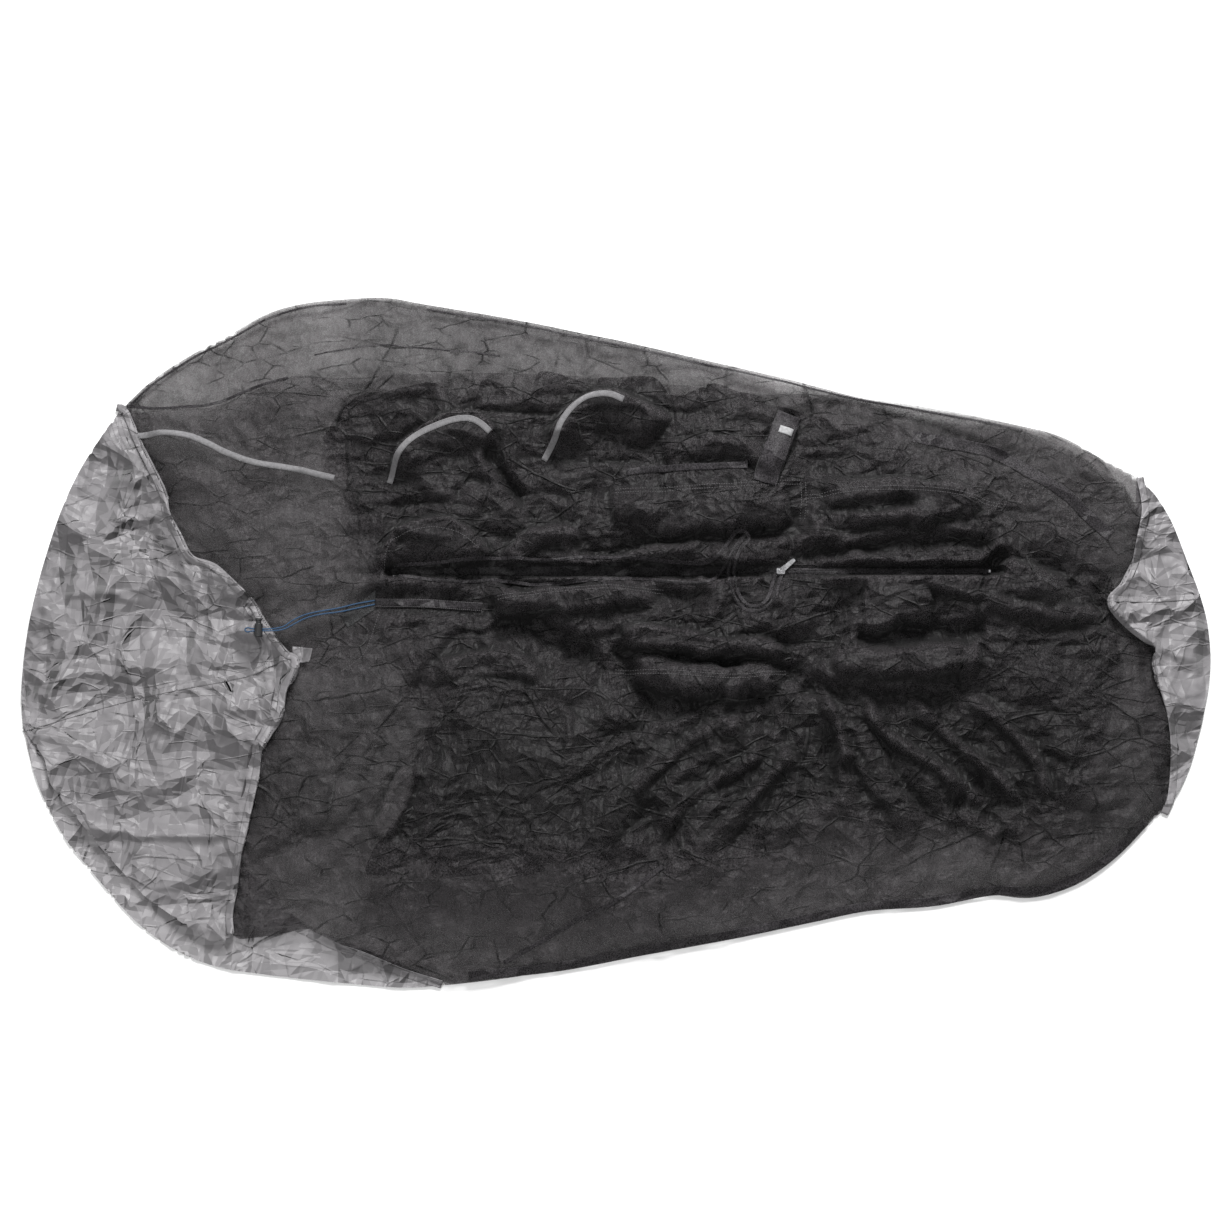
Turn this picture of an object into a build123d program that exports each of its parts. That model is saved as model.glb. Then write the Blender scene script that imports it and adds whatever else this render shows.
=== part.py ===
"""Mummy-shaped net sleeping bag laid flat, in millimetres: +X to the foot, +Y to the far side, +Z up.

Soft panels are plain closed solids: three floor panels, and a low hollow heap of top panels over them.
"""

import os
from math import pi, radians, tan

from build123d import *

# The bag laid flat
FLOOR_T = 1.2  # stand-in thickness of the floor panels
RIM_Z = 4.0  # height of the sewn rim all round
CROWN_Z = 30.0  # height at which the slack top panels lie
CROWN_SHARE_X, CROWN_SHARE_Y = 0.94, 0.89  # the flat crown's size as a share of the outline
LEDGE_SHARE = 0.005  # how far the margins reach onto the crown, as a share of the outline
SKIN_T = 2.0  # stand-in thickness of the top panels
INNER_SHARE = 0.985  # the hollow's size as a share of the outline
TAPE_T = 0.8  # thickness of every sewn tape
HEM_W = 13.0  # width of the double-stitched hems
BINDING_W = 15.0  # width of the grey binding on the far seam
GATHER_SHARE = 0.55  # a gather's top as a share of its foot
BELOW, ABOVE = -5.0, 150.0  # heights clear of the bag, for cutting upright through it
OUT_X, OUT_Y = 1300.0, 900.0  # distances from the origin that lie outside the outline
RIBBON_STEP = 25.0  # distance between the points that shape a ribbon's edges

# Zip: closed from the slider to the foot, open from the slider to the head
ZIP_Y = 112.0
ZIP_HEAD_X, ZIP_FOOT_X = -380.0, 640.0
SLIDER_X = 283.0
OPEN_START = 8.6  # each row's distance from the zip's line where the open stretch starts
OPEN_HALF = 34.0  # the same halfway along the open stretch
PANEL_SETBACK = 6.4  # from a row of coil to the panel that its tape is sewn to
ROW_OFFSET = 1.6  # each row's distance from the zip's line where it is closed
COIL = 2.2  # width and height of a row of coil
TAPE_W = 14.0
TAPE_LAP = 0.6  # from the middle of a row to the edge of its tape
STOP_L = 3.0
TAPE_TAIL = 12.0  # tape beyond the last coil
ZIP_Z = CROWN_Z + TAPE_T / 2

# Slider and pull
SLIDER_L, SLIDER_HALF_W = 14.0, 5.2
CORNER_R = 2.5  # rounded corners of the plates and of the pull's end
PLATE_T, PLATE_GAP = 1.2, 1.5  # each plate, and its distance from the zip's middle height
RAIL_W, RAIL_GAP = 1.2, 0.7
RAIL_SHORT = 5.0  # how much shorter the rails are than the plates
POST_L, POST_T, POST_SETBACK = 3.0, 0.6, 0.5
ARCH_LEG_X, ARCH_T, ARCH_W, ARCH_R = 3.0, 1.2, 1.6, 1.0
BAR_R, BAR_PLAY = 0.8, 0.3
BAR_Z = ZIP_Z + PLATE_GAP + PLATE_T + BAR_PLAY + BAR_R
PULL_YAW = 40.0  # the loose pull lies askew, this many degrees from +X
EYE_HALF_W, EYE_L, EYE_WALL = 3.4, 4.6, 1.0
EYE_SHOULDER = 3.0  # full width beyond the eye
PULL_T, PULL_L, PULL_TIP_W = 1.4, 31.0, 6.0

# Drawcord, its lock and what it comes out of
CORD_D = 2.4
LOCK_X, LOCK_Y = -611.0, 10.0
LOCK_R, LOCK_EDGE_R = 7.0, 1.2
LOCK_PLAY = 0.4  # gap under the lock
LOCK_Z = CROWN_Z + TAPE_T + LOCK_R + LOCK_PLAY
LOCK_FOOT, LOCK_TOP = -12.0, 11.0  # the body's two ends along Y, from the cord
BORE_R, BORE_FOOT = 4.8, -10.4
BUTTON_R, BUTTON_HEAD_R = 4.6, 5.6
BUTTON_TRAVEL = 4.0
BUTTON_FOOT, BUTTON_TOP, BUTTON_HEAD_T = -5.8, 20.0, 4.5
EYELET_HALF_W, EYELET_HALF_H = 3.2, 1.7  # the hole for the two strands
SPRING_R, SPRING_WIRE_R, SPRING_TURNS = 3.2, 0.35, 4
CORD_PLAY = 0.2  # gap under the cord
CORD_Z = CROWN_Z + TAPE_T + CORD_D / 2 + CORD_PLAY
BEND_SHARE = 0.45  # how much of the shorter run each bend of the cord takes
CHANNEL_X, CHANNEL_W, CHANNEL_T = -411.0, 15.0, 4.0

# Outline of the bag laid flat, from the head tip round the far side to the foot and back
OUTLINE = [
    (-1024.4, -110), (-951, 245), (-815, 443), (-675, 530), (-545, 584), (-400, 598.3), (-190, 560),
    (16, 518), (225, 469), (430, 418), (610, 389), (775, 350), (913, 270), (982, 150), (1023.5, -20),
    (982, -226), (913, -318), (830, -396), (720, -444), (600, -443), (430, -466), (225, -509),
    (0, -550), (-200, -583), (-370, -599), (-540, -584), (-675, -562), (-815, -490), (-951, -330),
]
# Where the grey head and foot panels end on the top side
HEAD_HEM = [
    (-875, 440), (-847, 395), (-778, 229), (-723, 129), (-632, 57), (-545, -29), (-588, -124),
    (-611, -211), (-632, -314), (-649, -521), (-665, -640),
]
FOOT_HEM = [
    (900, 360), (903, 269), (909, 205), (890, 133), (840, 60), (896, 5), (930, -25), (920, -48),
    (935, -109), (951, -224), (935, -300), (900, -400),
]
HEAD_SEAM = [(-1100, -132), (-925, -107), (-718, -64), (-545, -29)]
FOOT_SEAM = [(840, 60), (900, 66), (1100, 61)]
# Where the grey panels end on the under side
HEAD_FLOOR_EDGE = [(-875, 440), (-760, 150), (-700, -150), (-640, -390), (-528, -495), (-270, -640)]
FOOT_FLOOR_EDGE = [(900, 360), (870, 100), (880, -150), (900, -400)]
# The grey binding wanders with the loose far seam
BINDING = [
    (-785, 352), (-702, 331), (-624, 299), (-494, 276), (-400, 270), (-348, 330), (-277, 364),
    (-214, 347), (-150, 290), (-95, 363), (-30, 410), (40, 392),
]
STRAP = [(255, 262), (270, 305), (300, 385)]
STRAP_W = 45.0
LABEL_SIZE, LABEL_AT, LABEL_TURN = (30.0, 16.0), (292.0, 352.0), -20.0
FLAP = [(19, 283), (120, 290), (228, 294)]
FLAP_W = 12.0
CHANNEL = [(CHANNEL_X, 57), (-320, 56), (-230, 50)]
MESH_TAB = [(-473, 36), (-461, 14), (CHANNEL_X - 0.3, 46), (CHANNEL_X - 0.3, 79)]
HEM_TAB = [(-540, -14), (-520, -18), (-524, -40), (-543, -38)]
# Loose net gathered up on the crown: middle, half length, half width, height, turn in degrees
FAR_GATHERS = [((-230, 210), 130, 45, 48, 8), ((190, 235), 190, 38, 40, 3)]
NEAR_GATHERS = [((-210, 10), 120, 48, 52, -5), ((130, -30), 200, 40, 45, -4)]

# The drawcord's route: out of the channel, through the lock, round its tail loop and back
CORD_ROUTE = [
    (CHANNEL_X, 61.5, CORD_Z), (-441, 57, CORD_Z), (-474, 48, CORD_Z), (-506, 43, CORD_Z),
    (-532, 37.5, CORD_Z + 0.6), (-554, 27, CORD_Z + 3), (-572, 11.9, LOCK_Z),
    (-622, 11.3, LOCK_Z), (-630, 14.5, LOCK_Z), (-635.5, 10.5, LOCK_Z), (-630.5, 5.6, LOCK_Z),
    (-622, 8.7, LOCK_Z), (-572, 8.1, LOCK_Z), (-552, 20, CORD_Z + 2), (-530, 32.2, CORD_Z),
    (-503, 38.2, CORD_Z), (-472, 41.5, CORD_Z), (-442, 48.5, CORD_Z), (CHANNEL_X, 55, CORD_Z),
]


def plan(points):
    """Face in the floor plane with straight edges."""
    return make_face(Polyline(*points, close=True))


def prism(face, low=BELOW, high=ABOVE):
    """Upright prism of a floor-plane face between two heights."""
    return extrude(Pos(0, 0, low) * face, high - low)


def box(low, high):
    """Block between two corners."""
    size = [b - a for a, b in zip(low, high)]
    return Pos(*low) * Box(*size, align=(Align.MIN, Align.MIN, Align.MIN))


def ribbon(points, width):
    """Plan of a ribbon of that width, its middle a smooth line through the points."""
    line = Spline(*points)
    count = round(line.length / RIBBON_STEP) + 3
    sides = [[], []]
    for i in range(count + 1):
        at, along = line @ (i / count), line % (i / count)
        for side, offset in zip(sides, (width / 2, -width / 2)):
            side.append((at.X - along.Y * offset, at.Y + along.X * offset))
    left, right = Spline(*sides[0]), Spline(*sides[1])
    return make_face([left, right, Line(left @ 0, right @ 0), Line(left @ 1, right @ 1)])


def outline_face(share_x=1.0, share_y=1.0):
    """The bag's outline as a face, made smaller about the middle."""
    return make_face(Spline(*[(x * share_x, y * share_y) for x, y in OUTLINE], periodic=True))


def heap(base_z, rim_z, crown_z, share=1.0):
    """Solid with an upright rim, then a slope in to a flat crown."""
    foot = outline_face(share, share)
    crown = outline_face(share * CROWN_SHARE_X, share * CROWN_SHARE_Y)
    rim = extrude(Pos(0, 0, base_z) * foot, rim_z - base_z)
    return rim + loft([Pos(0, 0, rim_z) * foot, Pos(0, 0, crown_z) * crown], ruled=True)


def head_side(edge):
    """Plan of everything on the head's side of a line that crosses the bag."""
    return plan(edge + [(-OUT_X, -OUT_Y), (-OUT_X, OUT_Y)])


def foot_side(edge):
    """Plan of everything on the foot's side of a line that crosses the bag."""
    return plan(edge + [(OUT_X, -OUT_Y), (OUT_X, OUT_Y)])


def open_edge(side, extra):
    """Plan line of one side of the open stretch, moved outward by a distance."""
    end = ZIP_Y + side * (OPEN_START + extra)
    middle = ZIP_Y + side * (OPEN_HALF + extra)
    middle_x = (ZIP_HEAD_X + SLIDER_X) / 2
    points = [(ZIP_HEAD_X, end), (middle_x, middle), (SLIDER_X - SLIDER_L / 2, end)]
    return Spline(*points, tangents=[(1, 0), (1, 0)])


def mouth(extra):
    """Plan of the open stretch of the zip, made wider by a distance on each side."""
    far, near = open_edge(1, extra), open_edge(-1, extra)
    return make_face([far, near, Line(far @ 0, near @ 0), Line(far @ 1, near @ 1)])


def floor_panels():
    """The two grey end panels and the net panel that the bag lies on."""
    floor = extrude(outline_face(), FLOOR_T)
    head = prism(head_side(HEAD_FLOOR_EDGE))
    foot = prism(foot_side(FOOT_FLOOR_EDGE))
    return {"hood_floor": floor & head, "foot_floor": floor & foot, "floor_net": floor - head - foot}


def gathers(places):
    """Loose net standing up on the crown in long low gathers."""
    solids = []
    for (x, y), half_length, half_width, height, turn in places:
        foot = Pos(x, y, CROWN_Z) * Rot(0, 0, turn) * Ellipse(half_length, half_width)
        top = Pos(x, y, CROWN_Z + height) * Rot(0, 0, turn) * Ellipse(
            half_length * GATHER_SHARE, half_width * GATHER_SHARE)
        solids.append(loft([foot, top], ruled=True))
    return solids


def top_gathers():
    """The gathers of each net panel, apart from the flat panel that they stand on."""
    return {"gathers_far": Compound(gathers(FAR_GATHERS)), "gathers_near": Compound(gathers(NEAR_GATHERS))}


def top_panels():
    """The six top panels, each as a flat middle and the margin that slopes down to the rim."""
    skin = heap(FLOOR_T, RIM_Z, CROWN_Z) - heap(
        FLOOR_T, RIM_Z - 1, CROWN_Z - SKIN_T, INNER_SHARE)
    head = prism(head_side(HEAD_HEM))
    foot = prism(foot_side(FOOT_HEM))
    (_, tip_y), (last_x, _) = HEAD_SEAM[0], HEAD_SEAM[-1]
    far_of_head = prism(plan(HEAD_SEAM + [(last_x, OUT_Y), (-OUT_X, OUT_Y), (-OUT_X, tip_y)]))
    (first_x, _), (_, end_y) = FOOT_SEAM[0], FOOT_SEAM[-1]
    far_of_foot = prism(plan(FOOT_SEAM + [(OUT_X, end_y), (OUT_X, OUT_Y), (first_x, OUT_Y)]))
    far = prism(plan([(-OUT_X, ZIP_Y), (OUT_X, ZIP_Y), (OUT_X, OUT_Y), (-OUT_X, OUT_Y)]))
    slot_half = ROW_OFFSET + PANEL_SETBACK
    slot = prism(mouth(PANEL_SETBACK)) + box(
        (SLIDER_X - SLIDER_L / 2, ZIP_Y - slot_half, 0), (ZIP_FOOT_X + TAPE_TAIL, ZIP_Y + slot_half, ABOVE))
    stop_half = OPEN_START + PANEL_SETBACK
    slot += box((ZIP_HEAD_X - 2 * STOP_L, ZIP_Y - stop_half, 0), (ZIP_HEAD_X, ZIP_Y + stop_half, ABOVE))
    hood, toe = skin & head, skin & foot
    net = skin - head - foot - slot
    panels = {
        ("hood_gore_far", "hood_margin_far"): hood & far_of_head,
        ("hood_gore_near", "hood_margin_near"): hood - far_of_head,
        ("foot_gore_far", "foot_margin_far"): toe & far_of_foot,
        ("foot_gore_near", "foot_margin_near"): toe - far_of_foot,
        ("top_net_far", "net_margin_far"): net & far,
        ("top_net_near", "net_margin_near"): net - far,
    }
    crown = prism(outline_face(CROWN_SHARE_X - LEDGE_SHARE, CROWN_SHARE_Y - LEDGE_SHARE))
    pieces = {}
    for (middle_name, margin_name), panel in panels.items():
        pieces[middle_name] = panel & crown
        pieces[margin_name] = panel - crown
    return pieces


def tapes():
    """What is sewn flat on the top panels: hems, binding, strap, zip tapes and tabs."""
    cover = heap(FLOOR_T, RIM_Z + TAPE_T, CROWN_Z + TAPE_T) - heap(0, RIM_Z, CROWN_Z)
    pieces = {
        "hood_hem": ribbon([(x - HEM_W / 2, y) for x, y in HEAD_HEM[1:6]], HEM_W),
        "hood_hem_near": ribbon([(x - HEM_W / 2, y) for x, y in HEAD_HEM[6:]], HEM_W),
        "foot_hem_far": ribbon([(x + HEM_W / 2, y) for x, y in FOOT_HEM[:5]], HEM_W),
        "foot_hem_near": ribbon([(x + HEM_W / 2, y) for x, y in FOOT_HEM[5:]], HEM_W),
        "seam_binding": ribbon(BINDING, BINDING_W),
        "strap": ribbon(STRAP, STRAP_W),
        "flap_strip": ribbon(FLAP, FLAP_W),
        "mesh_tab": plan(MESH_TAB),
        "hem_tab": plan(HEM_TAB),
    }
    cut = gathers(FAR_GATHERS + NEAR_GATHERS)
    return {name: (cover & prism(face)) - cut for name, face in pieces.items()}


def zip_tapes():
    """The two halves' tapes, from the head stops to beyond the foot stop."""
    cover = Pos(0, 0, CROWN_Z) * extrude(mouth(TAPE_LAP + TAPE_W), TAPE_T)
    cover = cover - prism(mouth(TAPE_LAP))
    inner, outer = ROW_OFFSET + TAPE_LAP, ROW_OFFSET + TAPE_LAP + TAPE_W
    halves = {}
    for side, name in ((1, "far"), (-1, "near")):
        low, high = sorted((ZIP_Y + side * inner, ZIP_Y + side * outer))
        start_x, end_x = SLIDER_X - SLIDER_L / 2, ZIP_FOOT_X + TAPE_TAIL
        closed = box((start_x, low, CROWN_Z), (end_x, high, CROWN_Z + TAPE_T))
        near_y, far_y = sorted((ZIP_Y, side * OUT_Y))
        keep = box((-OUT_X, near_y, 0), (OUT_X, far_y, ABOVE))
        halves[f"zip_tape_{name}"] = (cover & keep) + closed
    return halves


def zip_coils():
    """The two rows of coil: side by side where closed, bowed apart where open."""
    low, high = ZIP_Z - COIL / 2, ZIP_Z + COIL / 2
    rows = {}
    for side, name in ((1, "far"), (-1, "near")):
        far_wall, near_wall = open_edge(side, COIL / 2), open_edge(side, -COIL / 2)
        ends = [Line(far_wall @ 0, near_wall @ 0), Line(far_wall @ 1, near_wall @ 1)]
        bowed = prism(make_face([far_wall, near_wall, *ends]), low, high)
        middle = ZIP_Y + side * ROW_OFFSET
        straight = box((SLIDER_X - POST_L, middle - COIL / 2, low), (ZIP_FOOT_X, middle + COIL / 2, high))
        rows[f"zip_coil_{name}"] = Compound([bowed, straight])
    return rows


def zip_stops():
    """One stop across both rows at the foot, and one at the head end of each row."""
    half = ROW_OFFSET + TAPE_LAP
    low, high = ZIP_Z - COIL / 2, ZIP_Z + COIL / 2
    foot = box((ZIP_FOOT_X, ZIP_Y - half, low), (ZIP_FOOT_X + STOP_L, ZIP_Y + half, high))
    head = []
    for side in (1, -1):
        middle = ZIP_Y + side * OPEN_START
        edges = middle - COIL / 2, middle + COIL / 2
        head.append(box((ZIP_HEAD_X - STOP_L, edges[0], low), (ZIP_HEAD_X, edges[1], high)))
    return {"zip_stop_foot": foot, "zip_stops_head": Compound(head)}


def slider():
    """Two plates with side rails, joined by a thin post between the rows, with an arch on top."""
    plate_z = PLATE_GAP + PLATE_T / 2
    body = Part()
    for up in (1, -1):
        plate = Pos(0, 0, up * plate_z) * Box(SLIDER_L, 2 * SLIDER_HALF_W, PLATE_T)
        body += fillet(plate.edges().filter_by(Axis.Z), CORNER_R)
        for side in (1, -1):
            rail_h = PLATE_GAP - RAIL_GAP
            rail = Box(SLIDER_L - RAIL_SHORT, RAIL_W, rail_h)
            body += Pos(0, side * (SLIDER_HALF_W - RAIL_W / 2), up * (RAIL_GAP + rail_h / 2)) * rail
    body += Pos(-SLIDER_L / 2 + POST_L / 2 + POST_SETBACK, 0, 0) * Box(POST_L, POST_T, 2 * PLATE_GAP)
    leg_low = PLATE_GAP + PLATE_T
    arch_top = BAR_Z - ZIP_Z + BAR_R + BAR_PLAY + ARCH_T
    arch = Pos(0, 0, (leg_low + arch_top) / 2) * Box(2 * ARCH_LEG_X + ARCH_T, ARCH_W, arch_top - leg_low)
    arch = fillet(arch.edges().filter_by(Axis.Y).group_by(Axis.Z)[-1], ARCH_R)
    arch -= Pos(0, 0, (leg_low + arch_top - ARCH_T) / 2) * Box(
        2 * ARCH_LEG_X - ARCH_T, ARCH_W + 1, arch_top - ARCH_T - leg_low)
    return {"zip_slider": Pos(SLIDER_X, ZIP_Y, ZIP_Z) * (body + arch)}


def pull():
    """Tapered flat pull whose eye holds a round bar that turns under the slider's arch."""
    half = EYE_HALF_W + EYE_WALL
    shoulder = EYE_L + EYE_SHOULDER
    tab = plan([(0, -half), (shoulder, -half), (PULL_L, -PULL_TIP_W / 2),
                (PULL_L, PULL_TIP_W / 2), (shoulder, half), (0, half)])
    tab = prism(tab, -PULL_T / 2, PULL_T / 2)
    tab = fillet(tab.edges().filter_by(Axis.Z).group_by(Axis.X)[-1], CORNER_R)
    tab -= box((-1, -EYE_HALF_W, -2), (EYE_L, EYE_HALF_W, 2))
    bar = Rot(90, 0, 0) * Cylinder(BAR_R, 2 * half)
    return {"zip_pull": Pos(SLIDER_X, ZIP_Y, BAR_Z) * Rot(0, 0, PULL_YAW) * (tab + bar)}


def lock():
    """Barrel cord lock: a blind barrel, a sprung plunger with a head, and the spring."""
    centre = Pos(LOCK_X, LOCK_Y, LOCK_Z)

    def along_y(radius, low, high):
        return Pos(0, (low + high) / 2, 0) * Rot(90, 0, 0) * Cylinder(radius, high - low)

    def strand_hole(low, high):
        return box((-2 * LOCK_R, low, -EYELET_HALF_H), (2 * LOCK_R, high, EYELET_HALF_H))

    body = along_y(LOCK_R, LOCK_FOOT, LOCK_TOP)
    body = fillet(body.edges().filter_by(GeomType.CIRCLE), LOCK_EDGE_R)
    body -= along_y(BORE_R, BORE_FOOT, LOCK_TOP + 1)
    body -= strand_hole(-EYELET_HALF_W, EYELET_HALF_W)
    button = along_y(BUTTON_R, BUTTON_FOOT, BUTTON_TOP)
    head = along_y(BUTTON_HEAD_R, BUTTON_TOP - BUTTON_HEAD_T, BUTTON_TOP)
    button += fillet(head.edges().filter_by(GeomType.CIRCLE), LOCK_EDGE_R)
    button -= strand_hole(-EYELET_HALF_W, EYELET_HALF_W + BUTTON_TRAVEL)
    gap = BUTTON_FOOT - BORE_FOOT - 2 * SPRING_WIRE_R
    helix = Helix(pitch=gap / SPRING_TURNS, height=gap, radius=SPRING_R)
    wire = Plane(origin=helix @ 0, z_dir=helix % 0) * Circle(SPRING_WIRE_R)
    spring = Pos(0, BUTTON_FOOT - SPRING_WIRE_R, 0) * Rot(90, 0, 0) * sweep(wire, path=helix)
    return {"lock_body": centre * body, "lock_button": centre * button, "lock_spring": centre * spring}


def cord_channel():
    """Folded tunnel that the drawcord comes out of."""
    tunnel = prism(ribbon(CHANNEL, CHANNEL_W), CROWN_Z, CROWN_Z + CHANNEL_T)
    return {"cord_channel": tunnel - gathers(NEAR_GATHERS)}


def label():
    """Plain woven label sewn to the strap."""
    patch = Box(*LABEL_SIZE, TAPE_T, align=(Align.CENTER, Align.CENTER, Align.MIN))
    return {"strap_label": Pos(*LABEL_AT, CROWN_Z + TAPE_T) * Rot(0, 0, LABEL_TURN) * patch}


def drawcord():
    """Both strands of the one cord, as straight runs joined by the largest arcs they allow."""
    points = [Vector(*p) for p in CORD_ROUTE]
    radii = []
    for before, at, after in zip(points, points[1:], points[2:]):
        run = min((at - before).length, (after - at).length)
        half_turn = radians((at - before).get_angle(after - at)) / 2
        radii.append(BEND_SHARE * run / tan(half_turn))
    print("drawcord radii", [round(r, 1) for r in radii])
    path = FilletPolyline(*points, radius=radii)
    section = Plane(origin=path @ 0, z_dir=path % 0) * Circle(CORD_D / 2)
    cord = sweep(section, path=path)
    print("drawcord", round(path.length, 1), "long, volume ratio",
          round(cord.volume / (path.length * pi * CORD_D ** 2 / 4), 4))
    return {"drawcord": cord}


def main():
    os.makedirs("parts", exist_ok=True)
    makers = [floor_panels, top_panels, top_gathers, tapes, zip_tapes, zip_coils, zip_stops, slider, pull,
              lock, cord_channel, label, drawcord]
    for make in makers:
        for name, solid in make().items():
            export_step(solid, f"parts/{name}.step")


main()
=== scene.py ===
"""Sheer net mummy bag lying loosely collapsed on a pale floor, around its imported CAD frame, in metres."""
import math

import bmesh
import bpy
import numpy as np
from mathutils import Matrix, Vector
from mathutils.bvhtree import BVHTree


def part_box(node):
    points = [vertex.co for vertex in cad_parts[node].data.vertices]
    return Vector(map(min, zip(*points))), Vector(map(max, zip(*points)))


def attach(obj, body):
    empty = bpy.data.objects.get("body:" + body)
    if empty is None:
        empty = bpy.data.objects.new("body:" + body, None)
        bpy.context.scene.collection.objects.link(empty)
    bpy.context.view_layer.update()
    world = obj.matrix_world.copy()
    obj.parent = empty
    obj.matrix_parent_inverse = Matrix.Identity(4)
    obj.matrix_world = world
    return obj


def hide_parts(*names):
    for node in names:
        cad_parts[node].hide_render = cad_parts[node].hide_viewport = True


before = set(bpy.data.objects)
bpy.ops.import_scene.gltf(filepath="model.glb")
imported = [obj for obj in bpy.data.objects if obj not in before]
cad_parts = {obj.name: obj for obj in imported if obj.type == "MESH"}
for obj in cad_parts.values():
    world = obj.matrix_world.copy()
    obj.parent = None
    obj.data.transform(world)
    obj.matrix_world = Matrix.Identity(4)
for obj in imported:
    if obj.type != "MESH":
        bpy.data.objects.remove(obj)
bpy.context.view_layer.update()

MM = 0.001

# ---------------------------------------------------------------- shape of the bag, in millimetres
# Outline from the head tip round the far side to the foot and back
OUTLINE = [
    (-1022, -110), (-1005, 60), (-951, 245), (-882, 368), (-815, 443), (-744, 492), (-675, 528),
    (-606, 568), (-545, 586), (-468, 594), (-400, 596), (-330, 584), (-190, 560), (-53, 532),
    (16, 518), (120, 494), (225, 469), (330, 444), (430, 418), (520, 402), (610, 388), (706, 369),
    (775, 350), (844, 311), (913, 271), (955, 215), (982, 147), (1016, 43), (1023, -40), (1012, -120),
    (982, -226), (950, -282), (913, -318), (870, -362), (830, -396), (775, -428), (706, -446),
    (637, -440), (568, -443), (500, -461), (430, -466), (330, -487), (225, -509), (120, -529),
    (0, -549), (-120, -571), (-200, -583), (-300, -594), (-370, -597), (-468, -589), (-540, -582),
    (-606, -574), (-675, -563), (-744, -537), (-815, -488), (-882, -416), (-951, -330), (-1000, -225),
]
# The grey hood's and foot's edges on the top side, from the far seam to the near one
HEAD_HEM = [
    (-862, 402), (-847, 395), (-822, 340), (-800, 298), (-776, 250), (-768, 214), (-750, 177), (-727, 137),
    (-688, 122), (-659, 97), (-622, 60), (-605, 32), (-583, 0), (-560, -30), (-545, -36), (-546, -60),
    (-563, -91), (-570, -136), (-589, -167), (-603, -195), (-608, -237), (-617, -281), (-628, -337),
    (-636, -371), (-642, -427), (-650, -471), (-648, -507),
]
FOOT_HEM = [
    (903, 279), (909, 221), (897, 167), (888, 129), (868, 90), (845, 62), (866, 30), (901, 0),
    (925, -18), (920, -50), (937, -105), (945, -141), (949, -202), (945, -269), (932, -303),
]


def smooth(points, step, closed=False):
    """Points about a step apart along a smooth curve through the given ones."""
    p = np.array(points, float)
    if closed:
        tangents = (np.roll(p, -1, 0) - np.roll(p, 1, 0)) / 2
        spans = zip(p, np.roll(p, -1, 0), tangents, np.roll(tangents, -1, 0))
    else:
        tangents = np.gradient(p, axis=0)
        spans = zip(p[:-1], p[1:], tangents[:-1], tangents[1:])
    out = []
    for a, b, ta, tb in spans:
        count = max(2, int(np.linalg.norm(b - a) / step))
        t = np.linspace(0, 1, count, endpoint=False)[:, None]
        out.append((2 * t**3 - 3 * t**2 + 1) * a + (t**3 - 2 * t**2 + t) * ta
                   + (3 * t**2 - 2 * t**3) * b + (t**3 - t**2) * tb)
    if not closed:
        out.append(p[-1:])
    return np.vstack(out)


RIM = smooth(OUTLINE, 12, closed=True)


def rim_between(a, b):
    """Stretch of the outline from the point nearest a to the one nearest b, the way it is listed."""
    i, j = (int(np.argmin(np.linalg.norm(RIM - np.array(end, float), axis=1))) for end in (a, b))
    return RIM[i:j + 1] if j >= i else np.vstack([RIM[i:], RIM[:j + 1]])


def distance_to(line, p, closed=False):
    """Distance to a polyline, the nearest point on it, the place along it and the side, +1 on its left."""
    a = np.array(line, float)
    b = np.roll(a, -1, 0) if closed else a[1:]
    a = a if closed else a[:-1]
    best = np.full(len(p), 1e9)
    nearest = np.zeros_like(p)
    along = np.zeros(len(p))
    side = np.ones(len(p))
    for k, (s, e) in enumerate(zip(a, b)):
        d = e - s
        t = np.clip(((p - s) @ d) / max(d @ d, 1e-9), 0, 1)
        q = s + t[:, None] * d
        r = np.hypot(*(p - q).T)
        hit = r < best
        best[hit], nearest[hit], along[hit] = r[hit], q[hit], (k + t[hit]) / len(a)
        cross = d[0] * (p[:, 1] - s[1]) - d[1] * (p[:, 0] - s[0])
        side[hit] = np.sign(cross[hit])
    return best, nearest, along, side


def off_line(line, p):
    """Distance to an open line."""
    return distance_to(line, p)[0]


def off_edge(region, p):
    """Distance to the edge of a closed region, from either side of it."""
    return distance_to(region, p, closed=True)[0]


def inside(polygon, p):
    """Whether each point is inside a closed polygon."""
    a, b = polygon, np.roll(polygon, -1, 0)
    odd = np.zeros(len(p), bool)
    for (x0, y0), (x1, y1) in zip(a, b):
        if y0 == y1:
            continue
        crosses = (y0 > p[:, 1]) != (y1 > p[:, 1])
        x = x0 + (p[:, 1] - y0) * (x1 - x0) / (y1 - y0)
        odd ^= crosses & (p[:, 0] < x)
    return odd


# ---------------------------------------------------------------- noise
def lattice(ix, iy, seed):
    """Repeatable value from 0 to 1 at each lattice point."""
    h = (ix.astype(np.int64) * 374761393 + iy.astype(np.int64) * 668265263 + seed * 974634777) & 0xFFFFFFFF
    h = ((h ^ (h >> 13)) * 1274126177) & 0xFFFFFFFF
    return ((h ^ (h >> 16)) & 0xFFFF) / 65535.0


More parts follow.
